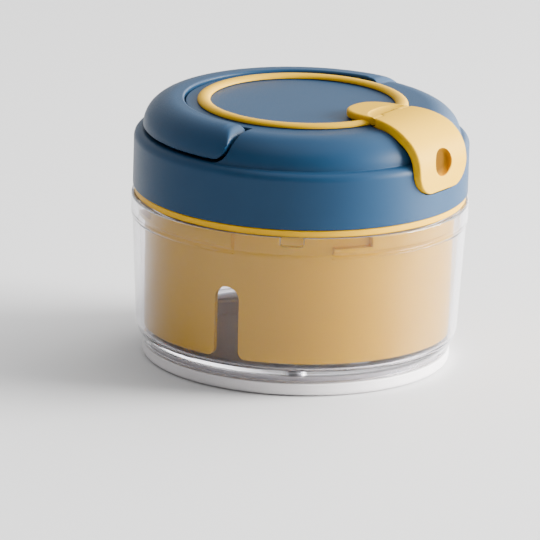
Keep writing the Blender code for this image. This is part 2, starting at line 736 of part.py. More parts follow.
def make_pull_ring(material):
    half = RING_WIDTH / 2
    profile = arc(ring_radius, ring_bottom, half, RING_HEIGHT, 90.0, 0.0, 3)
    profile += arc(ring_radius, ring_bottom, half, RING_HEIGHT, 180.0, 90.0, 3)[:-1]
    ring = turned("pull_ring", profile, ROUND_STEPS, material)
    ahead = (2 * LID_RADIUS, LID_RADIUS, LID_RADIUS)
    front_middle = (0, OVERLAP - hinge_distance - LID_RADIUS / 2, ring_bottom)
    cut(ring, box("ring_front", ahead, front_middle))
    tab = []
    for i in range(17):
        angle = math.pi * i / 16
        across = TONGUE_HALF_WIDTH * math.copysign(abs(math.cos(angle)) ** TONGUE_POWER, math.cos(angle))
        tab.append((across, -hinge_distance + TONGUE_LENGTH * math.sin(angle) ** TONGUE_POWER))
    thickness = strap_top - ring_bottom - RING_STEP
    tongue_middle = (0, 0, strap_top - thickness / 2)
    tongue = slab("ring_tongue", [tab], thickness, "top", tongue_middle)
    edge = tongue.modifiers.new("edge", "BEVEL")
    edge.width = TONGUE_EDGE * MM
    edge.segments = 2
    edge.limit_method = "ANGLE"
    join(ring, tongue)
    knuckle_span = 2 * (TONGUE_HALF_WIDTH - RING_STEP)
    join(ring, hinge_cylinder("tongue_knuckles", HINGE_BARREL_RADIUS - RING_STEP / 2, 0.0, knuckle_span))
    knuckle_clear = 2 * (HINGE_KNUCKLE_HALF + GAP)
    cut(ring, hinge_cylinder("tongue_relief", HINGE_CLEAR_RADIUS, 0.0, knuckle_clear))
    cut(ring, hinge_cylinder("tongue_bore", HINGE_PIN_RADIUS + GAP, 0.0, 2 * LID_RADIUS))
    return ring


def hinge_cylinder(name, radius, middle, length, material=None):
    place_at = (middle, -hinge_distance, hinge_height)
    return cylinder(name, radius, length, place_at, "X", 16, material)


def make_pull_strap(material):
    strap = strap_blank("pull_strap", 0.0, False, material)
    side_span = STRAP_NECK_HALF + 2 * OVERLAP - HINGE_KNUCKLE_HALF
    for side in (-1, 1):
        middle = side * (HINGE_KNUCKLE_HALF + side_span / 2)
        cut(strap, hinge_cylinder(f"strap_relief_{side + 2}", HINGE_CLEAR_RADIUS, middle, side_span))
    join(strap, hinge_cylinder("strap_knuckle", HINGE_BARREL_RADIUS, 0.0, 2 * HINGE_KNUCKLE_HALF))
    boss_outer = strap_inner_face + STRAP_THICKNESS / 2
    boss_inner = strap_inner_face - BOSS_LENGTH
    boss_middle = (0, -(boss_outer + boss_inner) / 2, cord_height)
    join(strap, cylinder("knot_boss", BOSS_RADIUS, boss_outer - boss_inner, boss_middle, "Y"))
    pocket_middle = (0, -(knot_pocket_outer() + boss_inner - OVERLAP) / 2, cord_height)
    pocket_length = knot_pocket_outer() - boss_inner + OVERLAP
    cut(strap, cylinder("knot_pocket", KNOT_POCKET_RADIUS, pocket_length, pocket_middle, "Y"))
    dimple_middle = (0, -strap_face - OVERRUN / 2 + DIMPLE_DEPTH, cord_height)
    cut(strap, cylinder("strap_dimple", DIMPLE_RADIUS, OVERRUN, dimple_middle, "Y", 24))
    cut(strap, hinge_cylinder("strap_bore", HINGE_PIN_RADIUS + GAP, 0.0, 2 * LID_RADIUS))
    return strap


def knot_pocket_outer():
    """Distance from the middle to the closed end of the knot's pocket."""
    return strap_inner_face - BOSS_LENGTH + 2 * KNOT_RADIUS + 2 * GAP


def knot_middle():
    """Distance from the middle to the centre of the cord's knot."""
    return strap_inner_face - BOSS_LENGTH + KNOT_RADIUS + GAP


def make_cord_knot(material):
    mesh = bpy.data.meshes.new("cord_knot")
    shape = bmesh.new()
    bmesh.ops.create_uvsphere(shape, u_segments=12, v_segments=8, radius=KNOT_RADIUS * MM)
    shape.to_mesh(mesh)
    shape.free()
    obj = place(bpy.data.objects.new("cord_knot", mesh), material)
    obj.rotation_euler = AXIS_TURN["Y"]
    obj.location = (0, -knot_middle() * MM, cord_height * MM)
    return obj


def make_cord_eyelet(material):
    """Flanged bush in the cord outlet, turned about the cord."""
    face = EYELET_FLANGE
    tube = TUNNEL_RADIUS - GAP
    flange = OUTLET_RADIUS - LOOSE_GAP
    profile = [(EYELET_BORE + CHAMFER, face), (flange - CHAMFER, face), (flange, face - CHAMFER)]
    profile += [(flange, 0.0), (tube, 0.0), (tube, -EYELET_LENGTH)]
    profile += [(EYELET_BORE, -EYELET_LENGTH), (EYELET_BORE, face - CHAMFER)]
    eyelet = turned("cord_eyelet", profile, SMALL_STEPS, material)
    eyelet.rotation_euler = (math.pi / 2, 0.0, 0.0)
    eyelet.location = (0, -(outlet_depth() + GAP) * MM, cord_height * MM)
    return eyelet


def make_pull_cord(material):
    """Cord from the knot through the eyelet and tunnel to where it meets the winding."""
    run_radius = reel_core_radius + WINDING_THICKNESS + CORD_RADIUS + 2 * GAP
    start = knot_middle() - KNOT_RADIUS - GAP
    bend = cavity_radius
    turn = math.asin(run_radius / bend)
    reach = math.sqrt(bend ** 2 - run_radius ** 2)
    route = [(0.0, -start), (0.0, -start + 3.0), (0.0, -(start + bend) / 2), (0.0, -bend - 2.0)]
    for share in (0.08, 0.3, 0.6, 1.0):
        route.append((reach * share * math.sin(turn), -bend + reach * share * math.cos(turn)))
    curve = bpy.data.curves.new("pull_cord", "CURVE")
    curve.dimensions = "3D"
    curve.bevel_depth = CORD_RADIUS * MM
    curve.bevel_resolution = 2
    curve.use_fill_caps = True
    spline = curve.splines.new("POLY")
    spline.points.add(len(route) - 1)
    for point, (x, y) in zip(spline.points, route):
        point.co = (x * MM, y * MM, cord_height * MM, 1.0)
    obj = bpy.data.objects.new("pull_cord", curve)
    cutters.objects.link(obj)
    return mesh_of_curve(obj, material)


def make_reel(material):
    bore = AXLE_RADIUS + GAP
    hub = REEL_HUB_RADIUS
    profile = [(bore, reel_top), (reel_radius - CHAMFER, reel_top), (reel_radius, reel_top - CHAMFER)]
    profile += [(reel_radius, groove_top), (reel_core_radius, groove_top), (reel_core_radius, groove_bottom)]
    profile += [(reel_radius, groove_bottom), (reel_radius, reel_bottom), (hub, reel_bottom)]
    profile += [(hub, hub_bottom), (bore, hub_bottom)]
    return turned("cord_reel", profile, MIDDLE_STEPS, material)


def make_winding(material):
    inner = reel_core_radius + GAP
    outer = inner + WINDING_THICKNESS
    top = groove_top - GAP
    bottom = groove_bottom + GAP
    profile = [(inner, top), (outer, top), (outer, bottom), (inner, bottom)]
    return turned("cord_winding", profile, MIDDLE_STEPS, material)


def make_reel_axle(material):
    top = roof_bottom - GAP
    bottom = top - AXLE_LENGTH
    profile = [(0.0, top), (AXLE_RADIUS, top), (AXLE_RADIUS, bottom + CHAMFER)]
    profile += [(AXLE_RADIUS - CHAMFER, bottom), (0.0, bottom)]
    return turned("reel_axle", profile, SMALL_STEPS, material)


def make_spring(material):
    """Flat spiral strip between the reel's hub and the cover's cup."""
    start = REEL_HUB_RADIUS + GAP + SPRING_THICKNESS
    end = cup_radius - GAP - SPRING_THICKNESS
    count = SPRING_TURNS * SMALL_STEPS
    corners = []
    for i in range(count + 1):
        angle = math.tau * SPRING_TURNS * i / count
        radius = start + (end - start) * i / count
        for height in (spring_bottom, spring_bottom + SPRING_HEIGHT):
            corners.append((radius * math.cos(angle) * MM, radius * math.sin(angle) * MM, height * MM))
    faces = [(2 * i, 2 * i + 2, 2 * i + 3, 2 * i + 1) for i in range(count)]
    mesh = bpy.data.meshes.new("recoil_spring")
    mesh.from_pydata(corners, [], faces)
    obj = place(bpy.data.objects.new("recoil_spring", mesh), material)
    wall = obj.modifiers.new("wall", "SOLIDIFY")
    wall.thickness = SPRING_THICKNESS * MM
    wall.offset = 0.0
    least_gap = (end - start) / SPRING_TURNS - SPRING_THICKNESS
    print(f"recoil spring: least gap between turns {least_gap:.2f} mm")
    return obj


def make_reel_cover(material):
    """Plate under the reel with the upstanding cup that holds the spring."""
    hole = bush_outer + GAP
    cup_top = reel_bottom - GAP
    cup_outer = cup_radius + CUP_WALL
    profile = [(cup_radius, cup_top), (cup_outer, cup_top), (cup_outer, cover_top)]
    profile += [(cover_radius - CHAMFER, cover_top)]
    profile += [(cover_radius, cover_top - CHAMFER), (cover_radius, cover_bottom), (hole, cover_bottom)]
    profile += [(hole, cover_top), (cup_radius, cover_top)]
    cover = turned("reel_cover", profile, MIDDLE_STEPS, material)
    for number in range(SCREW_COUNT):
        x, y = screw_place(number)
        middle = (x, y, cover_bottom)
        bore = cylinder(f"cover_hole_{number + 1}", SCREW_RADIUS + GAP, 4 * COVER_THICKNESS, middle, "Z", 12)
        cut(cover, bore)
    return cover


def make_cover_screw(number, material):
    head_top = cover_bottom - GAP
    head_bottom = head_top - SCREW_HEAD_HEIGHT
    tip = head_top + SCREW_LENGTH - CHAMFER
    profile = [(0.0, tip), (SCREW_RADIUS - CHAMFER, tip), (SCREW_RADIUS, tip - 2 * CHAMFER)]
    profile += [(SCREW_RADIUS, head_top), (SCREW_HEAD_RADIUS, head_top)]
    profile += [(SCREW_HEAD_RADIUS, head_bottom + CHAMFER)]
    profile += [(SCREW_HEAD_RADIUS - 2 * CHAMFER, head_bottom), (0.0, head_bottom)]
    screw = turned(f"cover_screw_{number + 1}", profile, 12, material)
    x, y = screw_place(number)
    screw.location = (x * MM, y * MM, 0.0)
    return screw


def make_drive_bush(material):
    inner = REEL_HUB_RADIUS + GAP
    flange_base = cover_top + GAP
    flange = bush_outer + BUSH_FLANGE
    flange_top_height = flange_base + BUSH_FLANGE_HEIGHT
    profile = [(inner, flange_top_height), (flange, flange_top_height), (flange, flange_base)]
    profile += [(bush_outer, flange_base), (bush_outer, cover_bottom), (inner, cover_bottom)]
    return turned("drive_bush", profile, MIDDLE_STEPS, material)


def make_drive_socket(material):
    """Cup pressed over the reel's hub; below it a round bore whose two ribs turn the shaft's tang."""
    cup = REEL_HUB_RADIUS + GAP
    cup_top = hub_bottom + SOCKET_CUP
    web_top = hub_bottom - GAP
    outer = SOCKET_RADIUS
    profile = [(cup, cup_top), (outer - CHAMFER, cup_top), (outer, cup_top - CHAMFER)]
    profile += [(outer, socket_bottom + CHAMFER), (outer - CHAMFER, socket_bottom)]
    profile += [(socket_bore, socket_bottom), (socket_bore, socket_web_bottom)]
    profile += [(VENT_RADIUS, socket_web_bottom), (VENT_RADIUS, web_top), (cup, web_top)]
    socket = turned("drive_socket", profile, MIDDLE_STEPS, material)
    bottom = socket_bottom + CHAMFER
    top = socket_web_bottom + SOCKET_WEB / 2
    reach = (socket_bore + SOCKET_RADIUS) / 2
    size = (reach - RIB_INNER_RADIUS, RIB_WIDTH, top - bottom)
    for side in (-1, 1):
        middle = (side * (reach + RIB_INNER_RADIUS) / 2, 0, (top + bottom) / 2)
        join(socket, box(f"socket_rib_{side + 2}", size, middle))
    return socket


def make_blade_shaft(material):
    """Shaft that stands on the bowl's pin, with a flat-sided tang at the top for the drive socket."""
    bore = PIN_RADIUS + GAP
    bore_top = underside + GAP + PIN_LENGTH + GAP
    foot = SHAFT_FOOT_RADIUS
    profile = [(0.0, tang_bottom), (neck_radius, tang_bottom), (neck_radius, shaft_shoulder)]
    profile += [(SHAFT_RADIUS, shaft_shoulder), (SHAFT_RADIUS, shaft_foot_top), (foot, shaft_foot_top)]
    profile += [(foot, shaft_bottom + CHAMFER), (foot - CHAMFER, shaft_bottom), (bore, shaft_bottom)]
    profile += [(bore, bore_top), (0.0, bore_top)]
    shaft = turned("blade_shaft", profile, MIDDLE_STEPS, material)
    height = TANG_LENGTH + OVERLAP
    middle = (0, 0, shaft_top - height / 2)
    tang = cylinder("shaft_tang", TANG_RADIUS, height, middle, "Z", MIDDLE_STEPS)
    keep_within(tang, box("tang_flats", (TANG_THICKNESS, 3 * TANG_RADIUS, 2 * height), middle))
    return join(shaft, tang)


def blade_outline():
    """Sickle outline: it leaves the hub ring, sweeps back as it reaches out and narrows to a round tip."""
    leading = []
    trailing = []
    for i in range(7):
        share = i / 6
        radius = BLADE_HUB_RADIUS + (blade_reach - BLADE_TIP_HALF - BLADE_HUB_RADIUS) * share
        angle = math.radians(BLADE_SWEEP) * share ** 1.5
        half = BLADE_ROOT_HALF + (BLADE_TIP_HALF - BLADE_ROOT_HALF) * share
        x = radius * math.cos(angle)
        y = radius * math.sin(angle)
        lean = angle + 0.5 * math.radians(BLADE_SWEEP) * share ** 0.5
        if i:
            leading.append((x + half * math.sin(lean), y - half * math.cos(lean)))
            trailing.append((x - half * math.sin(lean), y + half * math.cos(lean)))
    tip = arc(x, y, half, half, math.degrees(lean) - 60.0, math.degrees(lean) + 60.0, 4)
    root = math.degrees(math.asin(BLADE_ROOT_HALF / BLADE_HUB_RADIUS))
    hub = arc(0.0, 0.0, BLADE_HUB_RADIUS, BLADE_HUB_RADIUS, root, 360.0 - root, 10)
    return leading + tip + trailing[::-1] + hub


def make_blade(name, number, material):
    turn = 360.0 / MIDDLE_STEPS
    bore = arc(0.0, 0.0, SHAFT_RADIUS + GAP, SHAFT_RADIUS + GAP, 0.0, 360.0 - turn, MIDDLE_STEPS - 1)
    middle = (0, 0, blade_bottom + number * BLADE_PITCH + BLADE_THICKNESS / 2)
    blade = slab(name, [blade_outline(), bore], BLADE_THICKNESS, "top", middle, material)
    blade.rotation_euler.z = math.radians(360.0 / BLADE_COUNT * number)
    return blade


def make_ring_part(name, inner, outer, bottom, top, material):
    profile = [(inner, top), (outer, top), (outer, bottom), (inner, bottom)]
    return turned(name, profile, MIDDLE_STEPS, material)


def build():
    global parts
    global cutters
    clear_scene()
    parts = new_collection("food_chopper")
    cutters = new_collection("cutters")
    clear = finish_of("clear_plastic", (0.90, 0.90, 0.95), 0.08, 0.0, 0.9)
    blue = finish_of("satin_blue_plastic", (0.035, 0.082, 0.15), 0.42)
    yellow = finish_of("yellow_plastic", (0.80, 0.55, 0.19), 0.38)
    deep_yellow = finish_of("deep_yellow_plastic", (0.62, 0.36, 0.11), 0.35)
    rubber = finish_of("pale_silicone", (0.62, 0.57, 0.54), 0.6)
    steel = finish_of("brushed_steel", (0.60, 0.60, 0.60), 0.28, 1.0)
    grey = finish_of("grey_plastic", (0.35, 0.36, 0.38), 0.5)
    cord = finish_of("white_cord", (0.80, 0.79, 0.75), 0.8)

    make_foot_ring(rubber)
    make_bowl(clear)
    make_bowl_pin(steel)
    make_lid_seal(rubber)
    make_sleeve(deep_yellow)
    make_lid_shell(blue)
    make_bail(blue)
    make_bail_pin("bail_pin_left", -1, steel)
    make_bail_pin("bail_pin_right", 1, steel)
    make_pull_ring(yellow)
    make_pull_strap(yellow)
    hinge_cylinder("ring_hinge_pin", HINGE_PIN_RADIUS, 0.0, 2 * TONGUE_HALF_WIDTH - OVERLAP, steel)
    make_cord_knot(cord)
    make_cord_eyelet(steel)
    make_pull_cord(cord)
    make_reel(grey)
    make_winding(cord)
    make_reel_axle(steel)
    make_spring(steel)
    make_reel_cover(grey)
    for number in range(SCREW_COUNT):
        make_cover_screw(number, steel)
    make_drive_bush(steel)
    make_drive_socket(grey)
    make_blade_shaft(grey)
    for number, name in enumerate(("blade_lower", "blade_middle", "blade_upper")):
        make_blade(name, number, steel)
    spacer_inner = SHAFT_RADIUS + GAP
    for number, name in enumerate(("blade_spacer_lower", "blade_spacer_upper")):
        bottom = blade_bottom + number * BLADE_PITCH + BLADE_THICKNESS + GAP
        top = blade_bottom + (number + 1) * BLADE_PITCH - GAP
        make_ring_part(name, spacer_inner, SHAFT_FOOT_RADIUS, bottom, top, grey)
    collar_top = collar_bottom + COLLAR_HEIGHT
    make_ring_part("shaft_collar", neck_radius + GAP, SHAFT_FOOT_RADIUS, collar_bottom, collar_top, grey)


build()
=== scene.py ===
# Hand-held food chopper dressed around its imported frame. Sizes in the dictionaries are millimetres.
import json
import math

import bmesh
import bpy
import numpy as np
from mathutils import Matrix, Vector


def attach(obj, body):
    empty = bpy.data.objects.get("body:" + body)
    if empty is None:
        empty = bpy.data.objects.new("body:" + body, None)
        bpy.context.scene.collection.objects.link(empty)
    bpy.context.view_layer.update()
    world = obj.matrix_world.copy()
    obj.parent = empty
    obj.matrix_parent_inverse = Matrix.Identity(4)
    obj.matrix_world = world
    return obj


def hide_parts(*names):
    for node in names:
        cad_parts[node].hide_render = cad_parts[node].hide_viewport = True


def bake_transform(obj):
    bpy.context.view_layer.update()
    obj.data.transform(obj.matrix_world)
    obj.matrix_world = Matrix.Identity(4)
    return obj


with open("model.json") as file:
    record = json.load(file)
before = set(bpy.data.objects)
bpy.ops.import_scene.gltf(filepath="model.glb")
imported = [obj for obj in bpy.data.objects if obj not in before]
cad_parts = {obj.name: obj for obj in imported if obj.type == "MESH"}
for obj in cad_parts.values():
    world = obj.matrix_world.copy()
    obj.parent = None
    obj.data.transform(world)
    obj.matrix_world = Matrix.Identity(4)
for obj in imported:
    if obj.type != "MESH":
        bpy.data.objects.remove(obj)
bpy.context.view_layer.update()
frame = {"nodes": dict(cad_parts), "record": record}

mm = 0.001
nodes = frame["nodes"]


def linked(name, data):
    # new object in the scene
    made = bpy.data.objects.new(name, data)
    bpy.context.scene.collection.objects.link(made)
    return made


def setInputs(node, values):
    for key, value in values.items():
        node.inputs[key].default_value = value


def addNode(tree, kind, values=None, **settings):
    node = tree.nodes.new(kind)
    for key, value in settings.items():
        setattr(node, key, value)
    setInputs(node, values or {})
    return node


# Camera and light

shot = {"azimuth": -56.0, "elevation": 16.0, "roll": 1.7, "distance": 2500.0, "lens": 472.0, "sensor": 36.0,
        "farthest": 20000.0, "aim": (-5.5, 8.1, 29.8)}


def aimed(away, roll=0.0):
    # turn that looks back along "away" with the picture's upright rolled by an angle in degrees
    away = Vector(away).normalized()
    right = Vector((0.0, 0.0, 1.0)).cross(away).normalized()
    up = away.cross(right)
    lean = math.radians(roll)
    tiltedRight = right * math.cos(lean) + up * math.sin(lean)
    tiltedUp = up * math.cos(lean) - right * math.sin(lean)
    return Matrix((tiltedRight, tiltedUp, away)).transposed().to_4x4()


def fromAngles(azimuth, elevation):
    # direction from the object: azimuth 0 is in front (-Y), 90 on the +X side
    turn, rise = math.radians(azimuth), math.radians(elevation)
    return Vector((math.sin(turn) * math.cos(rise), -math.cos(turn) * math.cos(rise), math.sin(rise)))


def makeCamera():
    lens = bpy.data.cameras.new("camera")
    lens.lens = shot["lens"]
    lens.sensor_width = shot["sensor"]
    lens.clip_end = shot["farthest"] * mm
    camera = linked("camera", lens)
    away = fromAngles(shot["azimuth"], shot["elevation"])
    place = (Vector(shot["aim"]) + away * shot["distance"]) * mm
    camera.matrix_world = Matrix.Translation(place) @ aimed(away, shot["roll"])
    bpy.context.scene.camera = camera


# Each lamp: azimuth, elevation, distance in metres, size in metres, power in watts, colour
lamps = {
    "key_right": (36.0, 15.0, 1.3, 0.8, 112.0, (1.0, 0.985, 0.96)),
    "top_soft": (-70.0, 80.0, 1.5, 1.3, 8.0, (0.98, 0.99, 1.0)),
}
# Surround: an even part, and soft bright patches. Each patch: azimuth, elevation, brightness, and the cosines
# of the angle from its middle at which it starts to show and is full
surround = {"colour": (1.0, 1.0, 1.0), "even": 0.22, "patches": (
    (58.0, 14.0, 5.5, 0.50, 0.86),
    (124.0, 6.0, 0.8, 0.0, 0.9),
    (-150.0, 4.0, 0.5, 0.6, 0.95),
)}


def makeLamps():
    for name, (azimuth, elevation, distance, size, power, colour) in lamps.items():
        lamp = bpy.data.lights.new(name, "AREA")
        lamp.shape = "DISK"
        lamp.size = size
        lamp.energy = power
        lamp.color = colour
        away = fromAngles(azimuth, elevation)
        linked(name, lamp).matrix_world = Matrix.Translation(away * distance) @ aimed(away)


def makeSurround():
    # each patch's share rises smoothly with the cosine between a direction and the patch's middle
    world = bpy.data.worlds.new("studio")
    world.use_nodes = True
    tree = world.node_tree
    back = tree.nodes["Background"]
    back.inputs["Color"].default_value = (*surround["colour"], 1.0)
    place = addNode(tree, "ShaderNodeTexCoord")
    total = None
    for azimuth, elevation, bright, shows, full in surround["patches"]:
        middle = fromAngles(azimuth, elevation)
        facing = addNode(tree, "ShaderNodeVectorMath", {1: middle}, operation="DOT_PRODUCT")
        tree.links.new(place.outputs["Generated"], facing.inputs[0])
        span = addNode(tree, "ShaderNodeMapRange", {"From Min": shows, "From Max": full, "To Max": bright},
                       interpolation_type="SMOOTHSTEP")
        tree.links.new(facing.outputs["Value"], span.inputs["Value"])
        added = addNode(tree, "ShaderNodeMath", {1: surround["even"]})
        tree.links.new(span.outputs["Result"], added.inputs[0])
        if total:
            tree.links.new(total, added.inputs[1])
        total = added.outputs["Value"]
    tree.links.new(total, back.inputs["Strength"])
    bpy.context.scene.world = world


makeCamera()
makeLamps()
makeSurround()
print("camera and lamps set")


# Materials. In the dictionaries, fields such as drift and speck are noise scales, and heights are millimetres

def newMaterial(name):
    material = bpy.data.materials.new(name)
    material.use_nodes = True
    return material, material.node_tree, material.node_tree.nodes["Principled BSDF"]


def noiseField(tree, scale, detail=3.0, stretch=None, rough=0.5):
    # noise on Object coordinates, stretched along the axes where asked
    place = addNode(tree, "ShaderNodeTexCoord")
    noise = addNode(tree, "ShaderNodeTexNoise", {"Scale": scale, "Detail": detail, "Roughness": rough})
    if stretch:
        mapping = addNode(tree, "ShaderNodeMapping", {"Scale": stretch})
        tree.links.new(place.outputs["Object"], mapping.inputs["Vector"])
        tree.links.new(mapping.outputs["Vector"], noise.inputs["Vector"])
    else:
        tree.links.new(place.outputs["Object"], noise.inputs["Vector"])
    return noise.outputs["Fac"]


def spread(tree, source, low, high, start=0.3, end=0.7):
    # maps a field to a range
    ends = {"From Min": start, "From Max": end, "To Min": low, "To Max": high}
    span = addNode(tree, "ShaderNodeMapRange", ends)
    tree.links.new(source, span.inputs["Value"])
    return span.outputs["Result"]


def addColour(tree, shader, share, first, second):
    # base colour that goes from the first to the second with a share of 0 to 1
    mix = addNode(tree, "ShaderNodeMix", data_type="RGBA")
    mix.inputs["A"].default_value = (*first, 1.0)
    mix.inputs["B"].default_value = (*second, 1.0)
    tree.links.new(share, mix.inputs["Factor"])
    tree.links.new(mix.outputs["Result"], shader.inputs["Base Color"])


def addGloss(tree, shader, field, low, high, start=0.3, end=0.7):
    tree.links.new(spread(tree, field, low, high, start, end), shader.inputs["Roughness"])


def addBump(tree, shader, fields):
    # fields: (field, height in millimetres), stacked one bump on the next
    normal = None
    for field, height in fields:
        bump = addNode(tree, "ShaderNodeBump", {"Strength": 1.0, "Distance": height * mm})
        tree.links.new(field, bump.inputs["Height"])
        if normal:
            tree.links.new(normal, bump.inputs["Normal"])
        normal = bump.outputs["Normal"]
    tree.links.new(normal, shader.inputs["Normal"])


plasticLook = {"drift": 28.0, "speck": 2600.0, "ripple": 90.0, "rippleHeight": 0.02, "smoother": 0.05,
               "rougher": 0.06, "ior": 1.5}


def mouldedPlastic(name, colour, shade, rough, grain, specular):
    # opaque moulded plastic: slow drift of colour, fine grain in the gloss and in the surface
    material, tree, shader = newMaterial(name)
    look = plasticLook
    drift = noiseField(tree, look["drift"], 2.0)
    speck = noiseField(tree, look["speck"], 2.0)
    addColour(tree, shader, spread(tree, drift, 0.0, 1.0), colour, shade)
    addGloss(tree, shader, speck, rough - look["smoother"], rough + look["rougher"])
    setInputs(shader, {"Specular IOR Level": specular, "IOR": look["ior"]})
    addBump(tree, shader, [(speck, grain), (noiseField(tree, look["ripple"], 1.0), look["rippleHeight"])])
    return material


def paintHollowShade(material, rim, floor, share):
    # painted shade: the base colour darkens towards the floor of a hollow sunk along Y, in millimetres
    tree = material.node_tree
    colour = tree.nodes["Principled BSDF"].inputs["Base Color"]
    place = addNode(tree, "ShaderNodeTexCoord")
    split = addNode(tree, "ShaderNodeSeparateXYZ")
    tree.links.new(place.outputs["Object"], split.inputs["Vector"])
    tone = spread(tree, split.outputs["Y"], 1.0, share, rim * mm, floor * mm)
    scaled = addNode(tree, "ShaderNodeVectorMath", operation="SCALE")
    tree.links.new(colour.links[0].from_socket, scaled.inputs[0])
    tree.links.new(tone, scaled.inputs["Scale"])
    tree.links.new(scaled.outputs["Vector"], colour)


# passes: how much light goes through where the wall is seen square on and along its edges
clearLook = {"colour": (0.960, 0.950, 0.995, 1.0), "shine": (0.6, 0.6, 0.63, 1.0), "ior": 1.45,
             "passes": (1.0, 0.35), "edge": (0.68, 0.98), "flow": 60.0, "flowHeight": 0.003, "scratch": 900.0,
             "rough": (0.008, 0.035)}


def clearPlastic(name):
    # clear moulded styrene: faint flow marks and a few hair scratches in the gloss
    material, tree, shader = newMaterial(name)
    look = clearLook
    flow = noiseField(tree, look["flow"], 2.0, (1.0, 1.0, 0.25))
    scratch = noiseField(tree, look["scratch"], 4.0, (1.0, 1.0, 0.06), 0.7)
    edge = addNode(tree, "ShaderNodeLayerWeight", {"Blend": 0.5})
    passed = spread(tree, edge.outputs["Facing"], *look["passes"], *look["edge"])
    tree.links.new(passed, shader.inputs["Transmission Weight"])
    setInputs(shader, {"Base Color": look["colour"], "IOR": look["ior"], "Specular Tint": look["shine"]})
    addGloss(tree, shader, scratch, *look["rough"], 0.45, 0.75)
    addBump(tree, shader, [(flow, look["flowHeight"])])
    return material


siliconeLook = {"colour": (0.78, 0.75, 0.76), "shade": (0.72, 0.69, 0.70), "dust": 45.0, "speck": 1800.0,
                "speckHeight": 0.02, "rough": (0.5, 0.62), "glow": 0.15, "glowReach": 2.0}


def siliconeRubber(name):
    # matt pale rubber with a little light in its skin
    material, tree, shader = newMaterial(name)
    look = siliconeLook
    speck = noiseField(tree, look["speck"], 2.0)
    dust = spread(tree, noiseField(tree, look["dust"], 4.0), 0.0, 1.0)
    addColour(tree, shader, dust, look["colour"], look["shade"])
    addGloss(tree, shader, speck, *look["rough"])
    setInputs(shader, {"Subsurface Weight": look["glow"], "Subsurface Radius": (1.0, 0.9, 0.85),
                       "Subsurface Scale": look["glowReach"] * mm})
    addBump(tree, shader, [(speck, look["speckHeight"])])
    return material


steelLook = {"colour": (0.66, 0.66, 0.67), "darker": 0.86, "rough": (0.23, 0.36), "cloud": 150.0,
             "grain": (40.0, 40.0, 2000.0), "grainHeight": 0.01}


def brushedSteel(name):
    # turned metal: fine level lines, and a slow change in the gloss
    material, tree, shader = newMaterial(name)
    look = steelLook
    grain = noiseField(tree, 1.0, 3.0, look["grain"], 0.6)
    darker = tuple(look["darker"] * value for value in look["colour"])
    addColour(tree, shader, spread(tree, grain, 0.0, 1.0), look["colour"], darker)
    addGloss(tree, shader, noiseField(tree, look["cloud"], 2.0), *look["rough"])
    setInputs(shader, {"Metallic": 1.0})
    addBump(tree, shader, [(grain, look["grainHeight"])])
    return material


braidLook = {"low": (0.42, 0.41, 0.38), "high": (0.76, 0.75, 0.71), "slant": 35.0, "turn": 45.0,
             "strands": 260.0, "height": 0.12, "rough": 0.8, "sheen": 0.3}


def braidedCord(name):
    # two sets of strands crossing at a slant, laid on Object coordinates
    material, tree, shader = newMaterial(name)
    look = braidLook
    place = addNode(tree, "ShaderNodeTexCoord")
    heights = []
    for sense in (1.0, -1.0):
        lean = (0.0, sense * math.radians(look["slant"]), math.radians(look["turn"]))
        turn = addNode(tree, "ShaderNodeMapping", {"Rotation": lean})
        strands = {"Scale": look["strands"], "Distortion": 0.4, "Detail": 1.0}
        wave = addNode(tree, "ShaderNodeTexWave", strands)
        tree.links.new(place.outputs["Object"], turn.inputs["Vector"])
        tree.links.new(turn.outputs["Vector"], wave.inputs["Vector"])
        heights.append(wave.outputs["Fac"])
    weave = addNode(tree, "ShaderNodeMath", operation="MAXIMUM")
    tree.links.new(heights[0], weave.inputs[0])
    tree.links.new(heights[1], weave.inputs[1])
    addColour(tree, shader, weave.outputs["Value"], look["low"], look["high"])
    setInputs(shader, {"Roughness": look["rough"], "Sheen Weight": look["sheen"]})
    addBump(tree, shader, [(weave.outputs["Value"], look["height"])])
    return material


# painted shade in the strap's dimple: the colour is scaled down from full at the rim to this share at the
# floor
dimplePaintedShade = {"rim": -59.3, "floor": -57.3, "share": 0.16}
# colour, second colour, roughness, grain height and reflection
plastics = {
    "satin_blue_plastic": ((0.0082, 0.037, 0.084), (0.0098, 0.041, 0.092), 0.40, 0.012, 0.15),
    "soft_yellow_plastic": ((0.60, 0.338, 0.001), (0.62, 0.352, 0.002), 0.48, 0.010, 0.10),
    "deep_yellow_plastic": ((0.67, 0.360, 0.001), (0.69, 0.375, 0.002), 0.45, 0.008, 0.10),
    # the dimple's orange is painted shade: it stands in for the dark, warm inside of a deeper hole
    "dimple_shade_orange_plastic": ((0.64, 0.270, 0.0003), (0.66, 0.280, 0.0005), 0.55, 0.010, 0.02),
    "grey_plastic": ((0.38, 0.39, 0.41), (0.34, 0.35, 0.37), 0.45, 0.012, 0.50),
}
blue, yellow, deepYellow, orange, grey = [mouldedPlastic(name, *look) for name, look in plastics.items()]
paintHollowShade(orange, **dimplePaintedShade)
clear = clearPlastic("clear_plastic")
silicone = siliconeRubber("pale_silicone")
steel = brushedSteel("turned_steel")
cordFinish = braidedCord("braided_cord")
print("materials made")


def paint(piece, material):
    piece.data.materials.clear()
    piece.data.materials.append(material)


finishes = {
    "clear_plastic": clear, "blue_plastic": blue, "yellow_plastic": yellow, "deep_yellow_plastic": deepYellow,
    "silicone": silicone, "steel": steel, "grey_plastic": grey, "cord": cordFinish,
}
for part in frame["record"]["subparts"]:
    paint(nodes[part["node"]], finishes[part["material_slot"]])


# Mesh helpers

